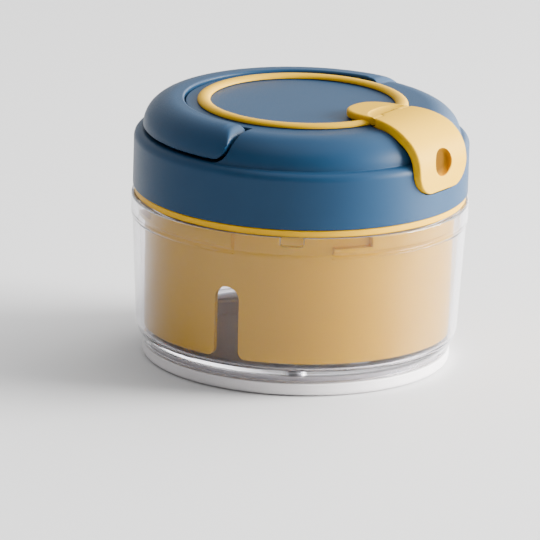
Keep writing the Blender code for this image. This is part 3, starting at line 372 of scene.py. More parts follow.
def cornerArcs(corners, steps=4, lead=0.1):
    # closed outline with round corners: at each corner (across, up, radius) an arc that touches both sides,
    # and one more point a little way along each side so that the flats stay flat in the light
    data = np.array(corners, float)
    rows = []
    for i in range(len(data)):
        here, radius = data[i, :2], data[i, 2]
        if radius <= 0.0:
            rows.append(here[None])
            continue
        before = data[i - 1, :2] - here
        after = data[(i + 1) % len(data), :2] - here
        before /= np.linalg.norm(before)
        after /= np.linalg.norm(after)
        half = 0.5 * math.acos(float(np.clip(before @ after, -1.0, 1.0)))
        away = radius / math.tan(half)
        middle = here + (before + after) / np.linalg.norm(before + after) * radius / math.sin(half)
        first, last = here + before * away - middle, here + after * away - middle
        sweep = math.pi - 2.0 * half
        share = np.linspace(0.0, 1.0, steps + 1)[:, None]
        bend = (np.sin((1.0 - share) * sweep) * first + np.sin(share * sweep) * last) / math.sin(sweep)
        rows += [(here + before * (away + lead))[None], middle + bend, (here + after * (away + lead))[None]]
    return np.vstack(rows)


def namedCorners(shape, *corners):
    # corners whose places are keys of a piece's dictionary or plain numbers, each with its radius
    return [(shape.get(across, across), shape.get(up, up), radius) for across, up, radius in corners]


def drawnIn(radius, left):
    # how far a quarter round of this radius has drawn in at a distance from the end
    return radius - np.sqrt(np.maximum(radius ** 2 - np.maximum(radius - left, 0.0) ** 2, 0.0))


def angles(start, end, count):
    return np.radians(np.linspace(start, end, count))


def fullTurn(count):
    return np.linspace(0.0, 2.0 * math.pi, count, endpoint=False)


def ellipseArc(middle, width, height, start, end, count):
    # points of an ellipse between two angles in degrees
    angle = angles(start, end, count + 1)
    return np.stack([middle[0] + width * np.cos(angle), middle[1] + height * np.sin(angle)], axis=1)


def roundGrid(turn, radius, height):
    # points at each direction round the Z axis; radius and height have one row for all, or one for each
    parts = radius * np.cos(turn)[:, None], radius * np.sin(turn)[:, None], height
    return np.stack(np.broadcast_arrays(*parts), axis=-1)


def evenPlaces(shape):
    # directions of the copies of what repeats round the axis
    return np.radians(shape["angle"] + 360.0 / shape["count"] * np.arange(shape["count"]))


def directionsWith(steps, centres, extra):
    # even directions round the axis, and more at the same offsets from each centre
    wanted = np.concatenate([fullTurn(steps), (centres[:, None] + extra[None]).ravel()]) % (2.0 * math.pi)
    return np.unique(np.round(wanted, 5))


def gridSolid(name, grid, wrapRows=True, wrapColumns=True, capRows=False):
    # closed mesh from a (rows, columns, 3) grid in millimetres: neighbours become quads, a wrap joins the
    # last line to the first, points that meet are welded, and faces are turned to point outwards
    rows, columns = grid.shape[:2]
    index = np.arange(rows * columns).reshape(rows, columns)
    ends = [tuple(index[0]), tuple(index[-1][::-1])] if capRows else []
    if wrapRows:
        index = np.vstack([index, index[:1]])
    if wrapColumns:
        index = np.hstack([index, index[:, :1]])
    quads = np.stack([index[:-1, :-1], index[:-1, 1:], index[1:, 1:], index[1:, :-1]], axis=-1).reshape(-1, 4)
    mesh = bpy.data.meshes.new(name)
    mesh.from_pydata(grid.reshape(-1, 3) * mm, [], quads.tolist() + ends)
    return closedPiece(name, mesh)


joining = {"weld": 0.002, "sliver": 0.0005, "crease": 32.0}  # millimetres, and degrees


def closedPiece(name, mesh):
    # welds, drops empty faces and loose points, faces outwards, and keeps edges past an angle crisp
    work = bmesh.new()
    work.from_mesh(mesh)
    bmesh.ops.remove_doubles(work, verts=work.verts, dist=joining["weld"] * mm)
    bmesh.ops.dissolve_degenerate(work, edges=work.edges, dist=joining["sliver"] * mm)
    loose = [edge for edge in work.edges if not edge.link_faces]
    bmesh.ops.delete(work, geom=loose, context="EDGES")
    bmesh.ops.delete(work, geom=[point for point in work.verts if not point.link_faces], context="VERTS")
    if work.calc_volume(signed=True) < 0.0:
        bmesh.ops.reverse_faces(work, faces=work.faces)
    work.to_mesh(mesh)
    work.free()
    mesh.polygons.foreach_set("use_smooth", np.ones(len(mesh.polygons), dtype=bool))
    mesh.set_sharp_from_angle(angle=math.radians(joining["crease"]))
    return linked(name, mesh)


def turnedSolid(name, outline, steps):
    # outline of (radius, height) carried round the Z axis; one that ends on the axis stays open there
    onAxis = outline[0, 0] == 0.0 and outline[-1, 0] == 0.0
    grid = roundGrid(fullTurn(steps), outline[None, :, 0], outline[None, :, 1])
    return gridSolid(name, grid, True, not onAxis)


def carve(piece, tool, operation="DIFFERENCE"):
    # one solid shaped by another, which is used up
    name = piece.name
    step = piece.modifiers.new("shape", "BOOLEAN")
    step.operation = operation
    step.solver = "EXACT"
    step.object = tool
    bpy.context.view_layer.update()
    mesh = bpy.data.meshes.new_from_object(piece.evaluated_get(bpy.context.evaluated_depsgraph_get()))
    for used in (piece, tool):
        bpy.data.objects.remove(used, do_unlink=True)
    shaped = closedPiece(name, mesh)
    shaped.name = name
    return shaped


def prism(name, outline, low, high, axis):
    # flat closed outline given a length along an axis; on X and Y the outline is (across, up)
    across, up = np.asarray(outline, float).T[:, None]
    along = np.array([[low], [high]])
    order = {"Z": (across, up, along), "X": (along, across, up), "Y": (across, along, up)}[axis]
    return gridSolid(name, np.stack(np.broadcast_arrays(*order), axis=-1), False, True, True)


def rod(name, radius, low, high, middle, axis, steps=48):
    # round bar between two places on an axis
    turn = fullTurn(steps)
    flat = np.stack([middle[0] + radius * np.cos(turn), middle[1] + radius * np.sin(turn)], axis=1)
    return prism(name, flat, low, high, axis)


def dress(piece, material, body, slot, *replaced, flats=True):
    # finish, body, record slot, which is not used, and the nodes that the piece stands for; flats are kept
    # flat in the light
    if material:
        paint(piece, material)
    if body:
        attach(piece, body)
    if replaced:
        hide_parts(*replaced)
    if flats:
        piece.modifiers.new("flats", "WEIGHTED_NORMAL").keep_sharp = True
    return piece


# Foot ring and bowl

footShape = {"outer": 54.3, "inner": 46.0, "height": 4.6, "roll": 1.7, "edge": 0.5,
             "ribOuter": 51.1, "ribInner": 49.3, "ribTop": 6.6}


def makeFootRing():
    # a turned band with a rolled lower edge, and a rib above that sits in the bowl's groove
    s = footShape
    outline = cornerArcs(namedCorners(
        s, ("inner", 0.0, 0.6), ("outer", 0.0, s["roll"]), ("outer", "height", s["edge"]),
        ("ribOuter", "height", 0.2), ("ribOuter", "ribTop", 0.3), ("ribInner", "ribTop", 0.3),
        ("ribInner", "height", 0.2), ("inner", "height", s["edge"])), 5)
    return turnedSolid("footRing", outline, 224)


bowlShape = {"base": 54.3, "baseLow": 4.9, "baseTop": 7.3, "underside": 6.9, "grooveOuter": 51.4,
             "floorTop": 9.3, "floorRound": 2.4, "wall": 2.2, "foot": 56.9, "footHeight": 13.8,
             "shoulder": 58.9, "bandLow": 51.0, "rim": 59.4, "rimInner": 56.9, "rimTop": 58.2,
             "bossRadius": 6.0, "bossTop": 13.3, "pinHole": 2.8, "cornerWidth": 3.5, "cornerHeight": 7.0,
             "pinFoot": 7.0, "pinFootEdge": 8.0, "steps": 224}
lugShape = {"count": 4, "angle": 31.5, "width": 8.6, "low": 54.5, "high": 57.3, "depth": 1.9, "corner": 1.3,
            "edge": 0.35}
lugSteps = np.array([-1.06, -1.0, -0.9, -0.75, -0.6, -0.3, 0.0, 0.3, 0.6, 0.75, 0.9, 1.0, 1.06])


def bowlInside(height):
    # radius of the tapered wall's inner face
    s = bowlShape
    share = (height - s["footHeight"]) / (s["bandLow"] - s["footHeight"])
    return s["foot"] + (s["shoulder"] - s["foot"]) * share - s["wall"]


def makeBowl():
    # a turned wall whose inner rim swells into four round-cornered lugs: inside a lug's columns and rows the
    # radius shrinks by the lug's depth, and the lug's lower row rises at its corners
    s, g = bowlShape, lugShape
    corner = ellipseArc((s["foot"] - s["cornerWidth"], s["footHeight"]), s["cornerWidth"], s["cornerHeight"],
                        -66.0, 0.0, 10)
    outline = namedCorners(
        s, (0.0, "baseLow", 0.0), ("pinFoot", "baseLow", 0.4), ("pinFootEdge", "underside", 0.4),
        ("grooveOuter", "underside", 0.2), ("grooveOuter", "baseLow", 0.25), ("base", "baseLow", 0.35),
        ("base", "baseTop", 0.25), *[(r, z, 0.0) for r, z in corner])
    band, pinTop, wallTop = s["bandLow"], s["underside"] + 0.1, s["bandLow"] - 1.5
    outline += namedCorners(
        s, ("shoulder", band - 0.3, 0.0), ("rim", band + 0.2, 0.25), ("rim", "rimTop", 0.6),
        ("rimInner", "rimTop", 0.5), ("rimInner", g["high"], 0.0), ("rimInner", g["high"] - g["edge"], 0.0),
        ("rimInner", g["low"] + g["edge"], 0.0), ("rimInner", g["low"], 0.0), ("rimInner", band - 0.5, 0.3),
        (bowlInside(wallTop), wallTop, 0.0), (bowlInside(s["floorTop"]), "floorTop", s["floorRound"]),
        ("bossRadius", "floorTop", 0.8), ("bossRadius", "bossTop", 0.5), ("pinHole", "bossTop", 0.2),
        ("pinHole", pinTop, 0.0), (0.0, pinTop, 0.0))
    points = cornerArcs(outline, 6)
    half = 0.5 * g["width"]
    inner = np.concatenate([lugSteps * half, [-half + g["edge"], half - g["edge"]]]) / s["rimInner"]
    centres = evenPlaces(g)
    turn = directionsWith(s["steps"], centres, inner)
    apart = np.abs((turn[:, None] - centres[None] + math.pi) % (2.0 * math.pi) - math.pi)
    away = apart.min(1) * s["rimInner"]
    radius = np.broadcast_to(points[None, :, 0], (len(turn), len(points))).copy()
    height = np.broadcast_to(points[None, :, 1], radius.shape).copy()
    onWall = np.isclose(points[:, 0], s["rimInner"])
    swell = np.clip((half - away) / g["edge"], 0.0, 1.0)
    lift = drawnIn(g["corner"], half - away)
    for level, depth, lifted in ((g["high"], 0.0, 0.0), (g["high"] - g["edge"], 1.0, 0.0),
                                 (g["low"] + g["edge"], 1.0, 1.0), (g["low"], 0.0, 1.0)):
        row = int(np.flatnonzero(onWall & np.isclose(points[:, 1], level))[0])
        radius[:, row] -= g["depth"] * depth * swell
        height[:, row] += lifted * lift * (away < half)
    return gridSolid("clearBowl", roundGrid(turn, radius, height), True, False)


sealShape = {"inner": 56.8, "outer": 57.6, "low": 58.5, "high": 59.45}


def makeSeal():
    # a flat ring with round edges in the groove under the sleeve's flange
    outline = cornerArcs(namedCorners(sealShape, ("inner", "low", 0.25), ("outer", "low", 0.25),
                                      ("outer", "high", 0.25), ("inner", "high", 0.25)), 3)
    return turnedSolid("lidSeal", outline, 192)


dress(makeFootRing(), silicone, "bowl", "silicone", "foot_ring")
dress(makeBowl(), clear, "bowl", "clear_plastic", "bowl")
dress(makeSeal(), silicone, "seal", "silicone", "lid_seal")
print("foot ring, bowl and seal made")


# Inner sleeve

sleeveShape = {"radius": 54.4, "foot": 53.9, "wall": 2.0, "bottom": 11.7, "bayonet": 56.5, "bayonetLow": 51.0,
               "bayonetFall": 1.6, "lip": 57.9, "lipTop": 59.9, "flange": 58.3, "flangeLow": 58.5,
               "flangeTop": 60.8, "upstand": 56.5, "upstandWall": 2.2, "upstandTop": 66.0, "webHole": 9.0}
recessShape = {"count": 4, "angle": 28.0, "spread": 36.0, "track": 14.0, "floor": 54.55, "top": 57.6,
               "trackLow": 54.2, "edge": 0.3, "steps": 224}
slotShape = {"width": 9.1, "height": 25.8, "flare": 3.0, "angle": 7.5}


def makeSleeve():
    # a turned sleeve and flange; its outer band sinks to the recess floor inside each entry and lock track,
    # with a narrow slope at every edge, and an arched slot passes through both sides
    s, k = sleeveShape, recessShape
    edge = k["edge"]
    inside, upstandInner = s["radius"] - s["wall"], s["upstand"] - s["upstandWall"]
    outline = namedCorners(
        s, (upstandInner, "upstandTop", 0.4), ("upstand", "upstandTop", 0.4), ("upstand", "flangeTop", 0.3),
        ("flange", "flangeTop", 0.35), ("flange", "flangeLow", 0.35), ("lip", "flangeLow", 0.1),
        ("lip", "lipTop", 0.1), ("bayonet", "lipTop", 0.1), ("bayonet", k["top"] + edge, 0.0),
        ("bayonet", k["top"], 0.0), ("bayonet", k["trackLow"], 0.0), ("bayonet", k["trackLow"] - edge, 0.0),
        ("bayonet", s["bayonetLow"] + s["bayonetFall"], 0.5), ("radius", "bayonetLow", 0.5),
        ("foot", "bottom", 0.7), (s["foot"] - s["wall"], "bottom", 0.7), (inside, "flangeLow", 2.0),
        ("webHole", "flangeLow", 0.4), ("webHole", "flangeTop", 0.4), (upstandInner, "flangeTop", 0.8))
    points = cornerArcs(outline, 5)
    half = math.radians(k["spread"] / 2)
    slope = edge / s["bayonet"]
    centres = evenPlaces(k)
    trackEnd = half + math.radians(k["track"])
    keys = np.array([-half - slope, -half, half, half + slope, trackEnd, trackEnd + slope])
    turn = directionsWith(k["steps"], centres, keys)
    offset = (turn[:, None] - centres[None] + math.pi) % (2.0 * math.pi) - math.pi
    offset = offset[np.arange(len(turn)), np.abs(offset - math.radians(k["track"]) / 2).argmin(1)]
    entry = np.clip((half + slope - np.abs(offset)) / slope, 0.0, 1.0)
    track = np.clip((trackEnd + slope - offset) / slope, 0.0, 1.0) * (offset > 0.0)
    radius = np.broadcast_to(points[None, :, 0], (len(turn), len(points))).copy()
    height = points[:, 1]
    onBand = (height < k["top"] + edge + 0.01) & (height > s["bayonetLow"] - 1.0)
    onBand &= points[:, 0] > s["radius"]
    below = np.clip((k["top"] + edge - height) / edge, 0.0, 1.0) * onBand
    above = np.clip((height - k["trackLow"] + edge) / edge, 0.0, 1.0)
    depth = np.maximum(entry[:, None] * below[None], track[:, None] * (below * above)[None])
    radius -= depth * np.maximum(radius - k["floor"], 0.0)
    return carve(gridSolid("innerSleeve", roundGrid(turn, radius, height[None])), makeSlotTool())


def makeSlotTool():
    # arch above, straight sides, and quarter rounds that flare out at the foot
    t = slotShape
    bottom = sleeveShape["bottom"]
    half, flare = t["width"] / 2, t["flare"]
    left = ellipseArc((-half - flare, bottom + flare), flare, flare, -90.0, 0.0, 8)
    crown = ellipseArc((0.0, bottom + t["height"] - half), half, half, 180.0, 0.0, 24)
    right = left[::-1] * (-1.0, 1.0)
    ends = np.array([(half + flare, bottom - 3.0), (-half - flare, bottom - 3.0)])
    tool = prism("slotTool", np.vstack([left, crown, right, ends]), -80.0, 80.0, "X")
    tool.data.transform(Matrix.Rotation(math.radians(t["angle"]), 4, "Z"))
    return tool


dress(makeSleeve(), deepYellow, "lid", "deep_yellow_plastic", "inner_sleeve")
print("sleeve made")


# Lid shell

lidShape = {"radius": 59.0, "low": 61.1, "ledge": 81.0, "round": 3.0, "foot": 55.8, "footRound": 0.5,
            "topRadius": 43.8, "top": 91.2, "seatWall": 41.2, "seatLip": 0.45, "seatRound": 0.5, "axis": 87.3,
            "seatEnd": 6.3, "skirtInner": 56.8, "cavityFloor": 78.7, "cavity": 37.5, "roof": 88.9,
            "bossRadius": 6.0, "bossLow": 84.5, "bore": 2.3, "snap": 64.0, "snapDepth": 0.5,
            "pocketInner": 53.6, "pocketLow": 67.3, "pocketHalf": 17.3, "channelGap": 0.4,
            "keepEnd": 34.0, "keepOver": 22.0}
screwBoss = {"count": 3, "angle": 90.0, "circle": 31.0, "radius": 3.5, "low": 69.8, "hole": 1.5,
             "depth": 11.0}
bailPin = {"hole": 1.8, "reach": 47.6}
lidOutlet = {"radius": 4.8, "outer": -62.0, "floor": 50.4, "height": 80.2, "tunnel": 2.6, "inner": 36.0}


def eased(share):
    # 0 to 1 with a level start and end
    share = np.clip(share, 0.0, 1.0)
    return share * share * (3.0 - 2.0 * share)


def lidProfiles():
    # radius, height in front and height behind the bail's axis for each row, from the middle of the top, over
    # the dome and down the skirt, to the middle of the cavity's roof; behind the axis the wall and the seat
    # take the dome's place
    s = lidShape
    lip = angles(0.0, 90.0, 6)
    wall, drop, curl = s["seatWall"], s["seatLip"], s["seatRound"]
    width, rise = s["foot"] - s["topRadius"], s["top"] - s["ledge"]
    flat = np.array([0.0, 12.0, 24.0, 34.0, wall - drop - 0.15])
    dome = angles(90.0, math.degrees(math.asin(s["footRound"] / rise)), 28)
    domeRadius, domeHeight = s["topRadius"] + width * np.cos(dome), s["ledge"] + rise * np.sin(dome)
    fillet = s["footRound"]
    foot = ellipseArc((domeRadius[-1] + fillet, s["ledge"] + fillet), fillet, fillet, 190.0, 265.0, 5)
    radius = np.concatenate([flat, wall - drop + drop * np.sin(lip), wall + curl * (1.0 - np.cos(lip)),
                             [wall + curl + 0.15], domeRadius, foot[:, 0]])
    front = np.concatenate([np.full(len(radius) - len(dome) - len(foot), s["top"]), domeHeight, foot[:, 1]])
    rear = np.concatenate([np.full(len(flat), s["top"]), s["top"] - drop * (1.0 - np.cos(lip)),
                           s["ledge"] + curl * (1.0 - np.sin(lip)),
                           np.full(1 + len(dome) + len(foot), s["ledge"])])
    bend = s["round"]
    skirt = ellipseArc((s["radius"] - bend, s["ledge"] - bend), bend, bend, 84.0, 0.0, 9)
    deep = s["skirtInner"] + s["snapDepth"]
    inside = cornerArcs(namedCorners(
        s, ("radius", s["ledge"] - bend - 0.3, 0.0), ("radius", "low", 0.35), ("skirtInner", "low", 0.3),
        ("skirtInner", s["snap"] - 0.6, 0.0), (deep, s["snap"] - 0.2, 0.0), (deep, s["snap"] + 0.2, 0.0),
        ("skirtInner", s["snap"] + 0.6, 0.0), ("skirtInner", "pocketLow", 0.0),
        ("skirtInner", s["pocketLow"] + 0.5, 0.0), ("skirtInner", "cavityFloor", 0.6),
        ("cavity", "cavityFloor", 0.5), ("cavity", "roof", 0.8), ("bossRadius", "roof", 0.4),
        ("bossRadius", "bossLow", 0.3), ("bore", "bossLow", 0.2), ("bore", "roof", 0.0),
        (0.0, "roof", 0.0)), 5)
    rest = np.vstack([skirt, inside])
    return (np.concatenate([radius, rest[:, 0]]), np.concatenate([front, rest[:, 1]]),
            np.concatenate([rear, rest[:, 1]]), len(radius))


def makeLidShell():
    # polar grid over the right half, mirrored. Columns near the bail's ends follow lines of constant y
    # outside the seat's wall. The seat's floor is level behind the axis and curls up round it ahead of the
    # axis, to a wall across the dome with a small round lip
    s = lidShape
    radius, front, rear, topRows = lidProfiles()
    drop, end, axis = s["seatLip"], s["seatEnd"], s["axis"]
    lip = angles(0.0, 90.0, 6)
    curlY = -end * np.sin(angles(0.0, 90.0, 17))
    seatY = np.concatenate([[6.5, 4.5, 2.5, 1.0], curlY])
    lipY = -end - drop * (1.0 - np.cos(lip))
    behindPlan = np.radians(np.arange(90.0, 11.0, -1.5))
    aheadPlan = angles(-12.0, -90.0, 56)
    nearPlan = np.arcsin(np.concatenate([seatY, lipY]) / s["seatWall"])
    plan = np.concatenate([behindPlan, nearPlan, aheadPlan])
    behind = np.arange(len(plan)) < len(behindPlan) + len(seatY)
    lipDrop = np.zeros(len(plan))
    lipDrop[len(behindPlan) + len(seatY):][:6] = drop * (1.0 - np.sin(lip))
    # each column keeps its distance from the X axis near the bail's ends and its angle further round
    slide = np.sin(plan)[:, None] * s["seatWall"] / np.maximum(radius, s["seatWall"])
    level = np.arcsin(np.clip(slide, -1.0, 1.0))
    keep = eased((math.radians(s["keepEnd"]) - np.abs(plan)) / math.radians(s["keepOver"]))
    turn = plan[:, None] + keep[:, None] * (level - plan[:, None])
    across, forward = radius * np.cos(turn), radius * np.sin(turn)
    # seat
    reach = np.clip(-forward, 0.0, end)
    curled = axis - np.sqrt(end ** 2 - reach ** 2) + (rear - s["ledge"])
    outside = (radius >= s["seatWall"] - 0.001)[None]
    lipRow = (radius <= s["seatWall"] + 0.001)[None] & (rear > axis)[None]
    floor = np.where(outside & ~lipRow, np.maximum(rear, curled), rear)
    seat = np.minimum(floor, front)
    dome = front - lipDrop[:, None] * eased((front - axis - 0.3) / 0.6) * outside
    height = np.where(behind[:, None], seat, dome)
    height[:, topRows:] = front[topRows:]
    # inside, the skirt's wall steps in where the strap's channel needs one behind it
    rows = np.arange(len(radius))
    pocketRow = (rows > topRows + 12) & (radius > s["pocketInner"]) & (front > s["pocketLow"] + 0.2)
    inPocket = np.clip((s["pocketHalf"] + 0.5 - np.abs(across)) / 0.5, 0.0, 1.0) * (forward < 0.0)
    sunk = inPocket * (radius - s["pocketInner"]) / np.maximum(radius, 1.0)
    inset = 1.0 - np.where(pocketRow[None], sunk, 0.0)
    half = np.stack([across * inset, forward * inset, height], axis=-1)
    half[0, :, 0] = 0.0
    half[-1, :, 0] = 0.0
    shell = gridSolid("lidShell", np.concatenate([half, half[-2:0:-1] * (-1.0, 1.0, 1.0)]), True, False)
    b = screwBoss
    for angle in evenPlaces(b):
        place = (b["circle"] * math.cos(angle), b["circle"] * math.sin(angle))
        boss = rod("screwBoss", b["radius"], b["low"], s["roof"] + 0.8, place, "Z")
        hole = rod("pilotHole", b["hole"], b["low"] - 1.0, b["low"] + b["depth"], place, "Z", 24)
        shell = carve(carve(shell, boss, "UNION"), hole)
    reach, out = bailPin["reach"], lidOutlet
    shell = carve(shell, rod("pinBore", bailPin["hole"], -reach, reach, (0.0, axis), "X", 32))
    shell = carve(shell, makeStrapSolid("strapChannel", s["channelGap"]))
    middle = (0.0, out["height"])
    shell = carve(shell, rod("outlet", out["radius"], out["outer"], -out["floor"], middle, "Y", 64))
    return carve(shell, rod("tunnel", out["tunnel"], -out["floor"] - 1.0, -out["inner"], middle, "Y", 32))


# Pull strap

strapShape = {"hinge": 36.5, "top": 94.3, "bendLow": 77.0, "bendPower": 2.35, "face": 59.7,
              "bottom": 69.9, "thickness": 3.5, "half": 14.75, "neck": 11.25, "flareStart": 37.5,
              "flareLength": 15.0, "flarePower": 1.6, "corner": 8.8, "edge": 0.8, "barrelHeight": 92.9,
              "barrel": 1.36, "relief": 2.0, "knuckleHalf": 5.2, "bossRadius": 4.2, "bossInner": 52.0,
              "pocket": 3.0, "pocketOuter": 56.9, "cordHeight": 80.2, "dimple": 5.0, "dimpleDepth": 2.4,
              "dimpleLip": 0.5, "dimpleFloor": 1.8, "bore": 0.9}


def strapRoute(bottom, corner, edge):
    # outer face seen from the side: a superellipse from level at the hinge to upright at the face, and a
    # straight end; closer steps at the end follow its round corners and its rounded lower edge. Also gives
    # the length left to the end
    s = strapShape
    power = 2.0 / s["bendPower"]
    angle = angles(90.0, 0.0, 160)
    bend = np.stack([s["hinge"] + (s["face"] - s["hinge"]) * np.maximum(np.cos(angle), 0.0) ** power,
                     s["bendLow"] + (s["top"] - s["bendLow"]) * np.sin(angle) ** power], axis=1)
    path = np.vstack([bend, [(s["face"], bottom)]])
    length = np.concatenate([[0.0], np.cumsum(np.linalg.norm(np.diff(path, axis=0), axis=1))])
    quarter = angles(0.0, 90.0, 16)
    left = np.concatenate([length[-1] - np.linspace(0.0, length[-1] - corner, 60),
                           corner * (1.0 - np.sin(quarter)), edge * (1.0 - np.sin(quarter[::3]))])
    left = np.unique(np.round(left, 4))[::-1]
    at = length[-1] - left
    return np.stack([np.interp(at, length, path[:, 0]), np.interp(at, length, path[:, 1])], axis=1), left


def makeStrapSolid(name, grow=0.0):
    # a rounded-rectangle section carried along the route: its half width follows the plan's flare and draws
    # in round the end's corners; grown all round and opened outwards it is the channel for the strap
    s = strapShape
    edge = 0.25 if grow else s["edge"]
    corner = s["corner"] + grow
    route, left = strapRoute(s["bottom"] - grow, corner, edge)
    tangent = np.gradient(route, axis=0)
    tangent /= np.linalg.norm(tangent, axis=1, keepdims=True)
    share = np.clip((route[:, 0] - s["flareStart"]) / s["flareLength"], 0.0, 1.0) ** (1.0 / s["flarePower"])
    half = s["neck"] + (s["half"] - s["neck"]) * share + grow
    half -= drawnIn(corner, left)
    outer, inner = (-9.0 if grow else 0.0), s["thickness"] + grow
    wide, flats = 20.0, np.linspace(-15.0, 15.0, 7)  # drawn this wide, then fitted to the route's width
    outerSide = [(-wide, outer, edge)] + [(x, outer, 0.0) for x in flats] + [(wide, outer, edge)]
    innerSide = [(wide, inner, edge)] + [(x, inner, 0.0) for x in flats[::-1]] + [(-wide, inner, edge)]
    section = cornerArcs(outerSide + innerSide, 6, 0.15)
    side = np.sign(section[:, 0])
    across = np.where(np.abs(section[:, 0]) < flats[-1] + 1.0, section[:, 0] / wide * half[:, None],
                      side * half[:, None] - side * (wide - np.abs(section[:, 0])))
    inward = np.where(section[:, 1] < 0.5 * (outer + inner), 1.0, -1.0) * (0.0 if grow else 1.0)
    depth = section[:, 1] + inward * drawnIn(edge, left)[:, None]
    out = route[:, :1] + tangent[:, 1:] * depth
    up = route[:, 1:] - tangent[:, :1] * depth
    if grow:
        out[0] -= 0.3
    return gridSolid(name, np.stack([across, -out, up], axis=-1), False, True, True)


def makeDimpleTool():
    # a shallow round pan with a rounded lip and a rounded floor, turned about the strap's face
    s = strapShape
    deep, radius, lip = -s["dimpleDepth"], s["dimple"], s["dimpleLip"]
    lead = ellipseArc((radius + lip, -lip), lip, lip, 90.0, 180.0, 8)
    bend = s["dimpleFloor"]
    floor = ellipseArc((radius - bend, deep + bend), bend, bend, 0.0, -90.0, 8)
    outline = np.vstack([[(0.0, 4.0), (radius + lip, 4.0)], lead, floor, [(0.0, deep)]])
    tool = turnedSolid("dimpleTool", outline, 96)
    place = Matrix.Translation((0.0, -s["face"] * mm, s["cordHeight"] * mm))
    tool.data.transform(place @ Matrix.Rotation(math.pi / 2, 4, "X"))
    return tool


def makePullStrap():
    # strap, then the hinge's knuckle and reliefs, the knot's boss and pocket behind, the round dimple and the
    # pin's bore; faces that lie wholly in the dimple take the orange finish, which is painted shade for a
    # deeper hole
    s = strapShape
    strap = makeStrapSolid("pullStrap")
    hinge, knot = (-s["hinge"], s["barrelHeight"]), (0.0, s["cordHeight"])
    inner, outer = s["knuckleHalf"], s["neck"] + 3.0
    knuckle = rod("strapKnuckle", s["barrel"], -inner - 1.0, inner + 1.0, hinge, "X", 48)
    strap = carve(strap, knuckle, "UNION")
    for low, high in ((-outer, -inner), (inner, outer)):
        strap = carve(strap, rod("strapRelief", s["relief"], low, high, hinge, "X", 48))
    boss = rod("knotBoss", s["bossRadius"], -s["pocketOuter"], -s["bossInner"], knot, "Y")
    pocket = rod("knotPocket", s["pocket"], -s["pocketOuter"], -s["bossInner"] + 1.0, knot, "Y")
    strap = carve(carve(strap, boss, "UNION"), pocket)
    strap = carve(strap, makeDimpleTool())
    strap = carve(strap, rod("strapBore", s["bore"], -inner - 0.5, inner + 0.5, hinge, "X", 24))
    paint(strap, yellow)
    mesh = strap.data
    mesh.materials.append(orange)
    corners = np.empty(len(mesh.vertices) * 3)
    mesh.vertices.foreach_get("co", corners)
    x, y, z = corners.reshape(-1, 3).T / mm
    # faces in the dimple's pan: their orange is painted shade, standing in for the dark inside of a deeper
    # hole
    deep = (np.hypot(x, z - s["cordHeight"]) < s["dimple"] + 0.1) & (y < -s["pocketOuter"] - 0.1)
    loops, firsts = (np.empty(len(items), dtype=np.int32) for items in (mesh.loops, mesh.polygons))
    mesh.loops.foreach_get("vertex_index", loops)
    mesh.polygons.foreach_get("loop_start", firsts)
    inShadedPan = np.logical_and.reduceat(deep[loops], firsts)
    mesh.polygons.foreach_set("material_index", inShadedPan.astype(np.int32))
    return strap


dress(makeLidShell(), blue, "lid", "blue_plastic", "lid_shell")
dress(makePullStrap(), None, "handle", "yellow_plastic", "pull_strap")
print("lid and strap made")


# Bail handle

bailShape = {"inner": 41.7, "low": 82.2, "top": 92.4, "innerTop": 0.8, "innerLow": 0.5, "roundMiddle": 44.5,
             "roundLow": 82.6, "outer": 55.8, "end": 5.1, "axis": 87.3, "soft": 0.4,
             "keepEnd": 30.0, "keepOver": 22.0}


def makeBail():
    # a closed section carried round the rear half circle; past each end it runs straight ahead while its
    # height draws in round the axis, with a soft minimum, which leaves a half-round end
    s = bailShape
    corners = cornerArcs(namedCorners(
        s, ("inner", "low", s["innerLow"]), ("inner", "top", s["innerTop"]), ("roundMiddle", "top", 0.0),
        ("outer", "low", 0.4)), 6)
    crown = ellipseArc((s["roundMiddle"], s["roundLow"]), s["outer"] - s["roundMiddle"],
                       s["top"] - s["roundLow"], 90.0, 4.0, 30)
    split = int(np.flatnonzero(np.isclose(corners[:, 0], s["roundMiddle"]))[0])
    foot = [(s["outer"], s["roundLow"]), (s["outer"], s["low"] + 0.3), (s["outer"] - 0.3, s["low"])]
    section = np.vstack([corners[:split], crown, foot])
    endTurn = angles(90.0, 0.0, 16)[:-1]
    ahead = -s["end"] * np.sin(endTurn)
    lead = np.array([0.0, 0.4, 1.2, 2.6, 4.4])
    straightY = np.concatenate([ahead, lead])
    plan = np.arcsin(straightY / s["inner"])
    sweep = np.concatenate([plan, angles(8.0, 172.0, 110), math.pi - plan[::-1]])
    level = np.arcsin(np.clip(np.sin(sweep)[:, None] * s["inner"] / section[None, :, 0], -1.0, 1.0))
    level = np.where(sweep[:, None] > math.pi / 2, math.pi - level, level)
    fromEnd = np.minimum(sweep, math.pi - sweep)
    keep = eased((math.radians(s["keepEnd"]) - fromEnd) / math.radians(s["keepOver"]))
    turn = sweep[:, None] + keep[:, None] * (level - sweep[:, None])
    across = section[None, :, 0] * np.cos(turn)
    forward = section[None, :, 0] * np.sin(turn)
    room = np.sqrt(np.maximum(s["end"] ** 2 - np.minimum(forward, 0.0) ** 2, 0.0))
    room += 1.5 * np.maximum(forward, 0.0)
    offset = np.broadcast_to(section[None, :, 1] - s["axis"], forward.shape)
    soft = np.minimum(s["soft"], 0.25 * room + 0.001)
    upper = -soft * np.logaddexp(-offset / soft, -room / soft)
    offset = np.where(forward < 0.0, np.maximum(upper, -room), upper)
    grid = np.stack([across, forward, s["axis"] + offset], axis=-1)
    bail = gridSolid("bailHandle", grid, False, True, True)
    reach = bailPin["reach"]
    return carve(bail, rod("pinHoles", bailPin["hole"], -reach, reach, (0.0, s["axis"]), "X", 32))


dress(makeBail(), blue, "bail", "blue_plastic", "bail_handle")
print("bail made")


# Pull ring and its tongue

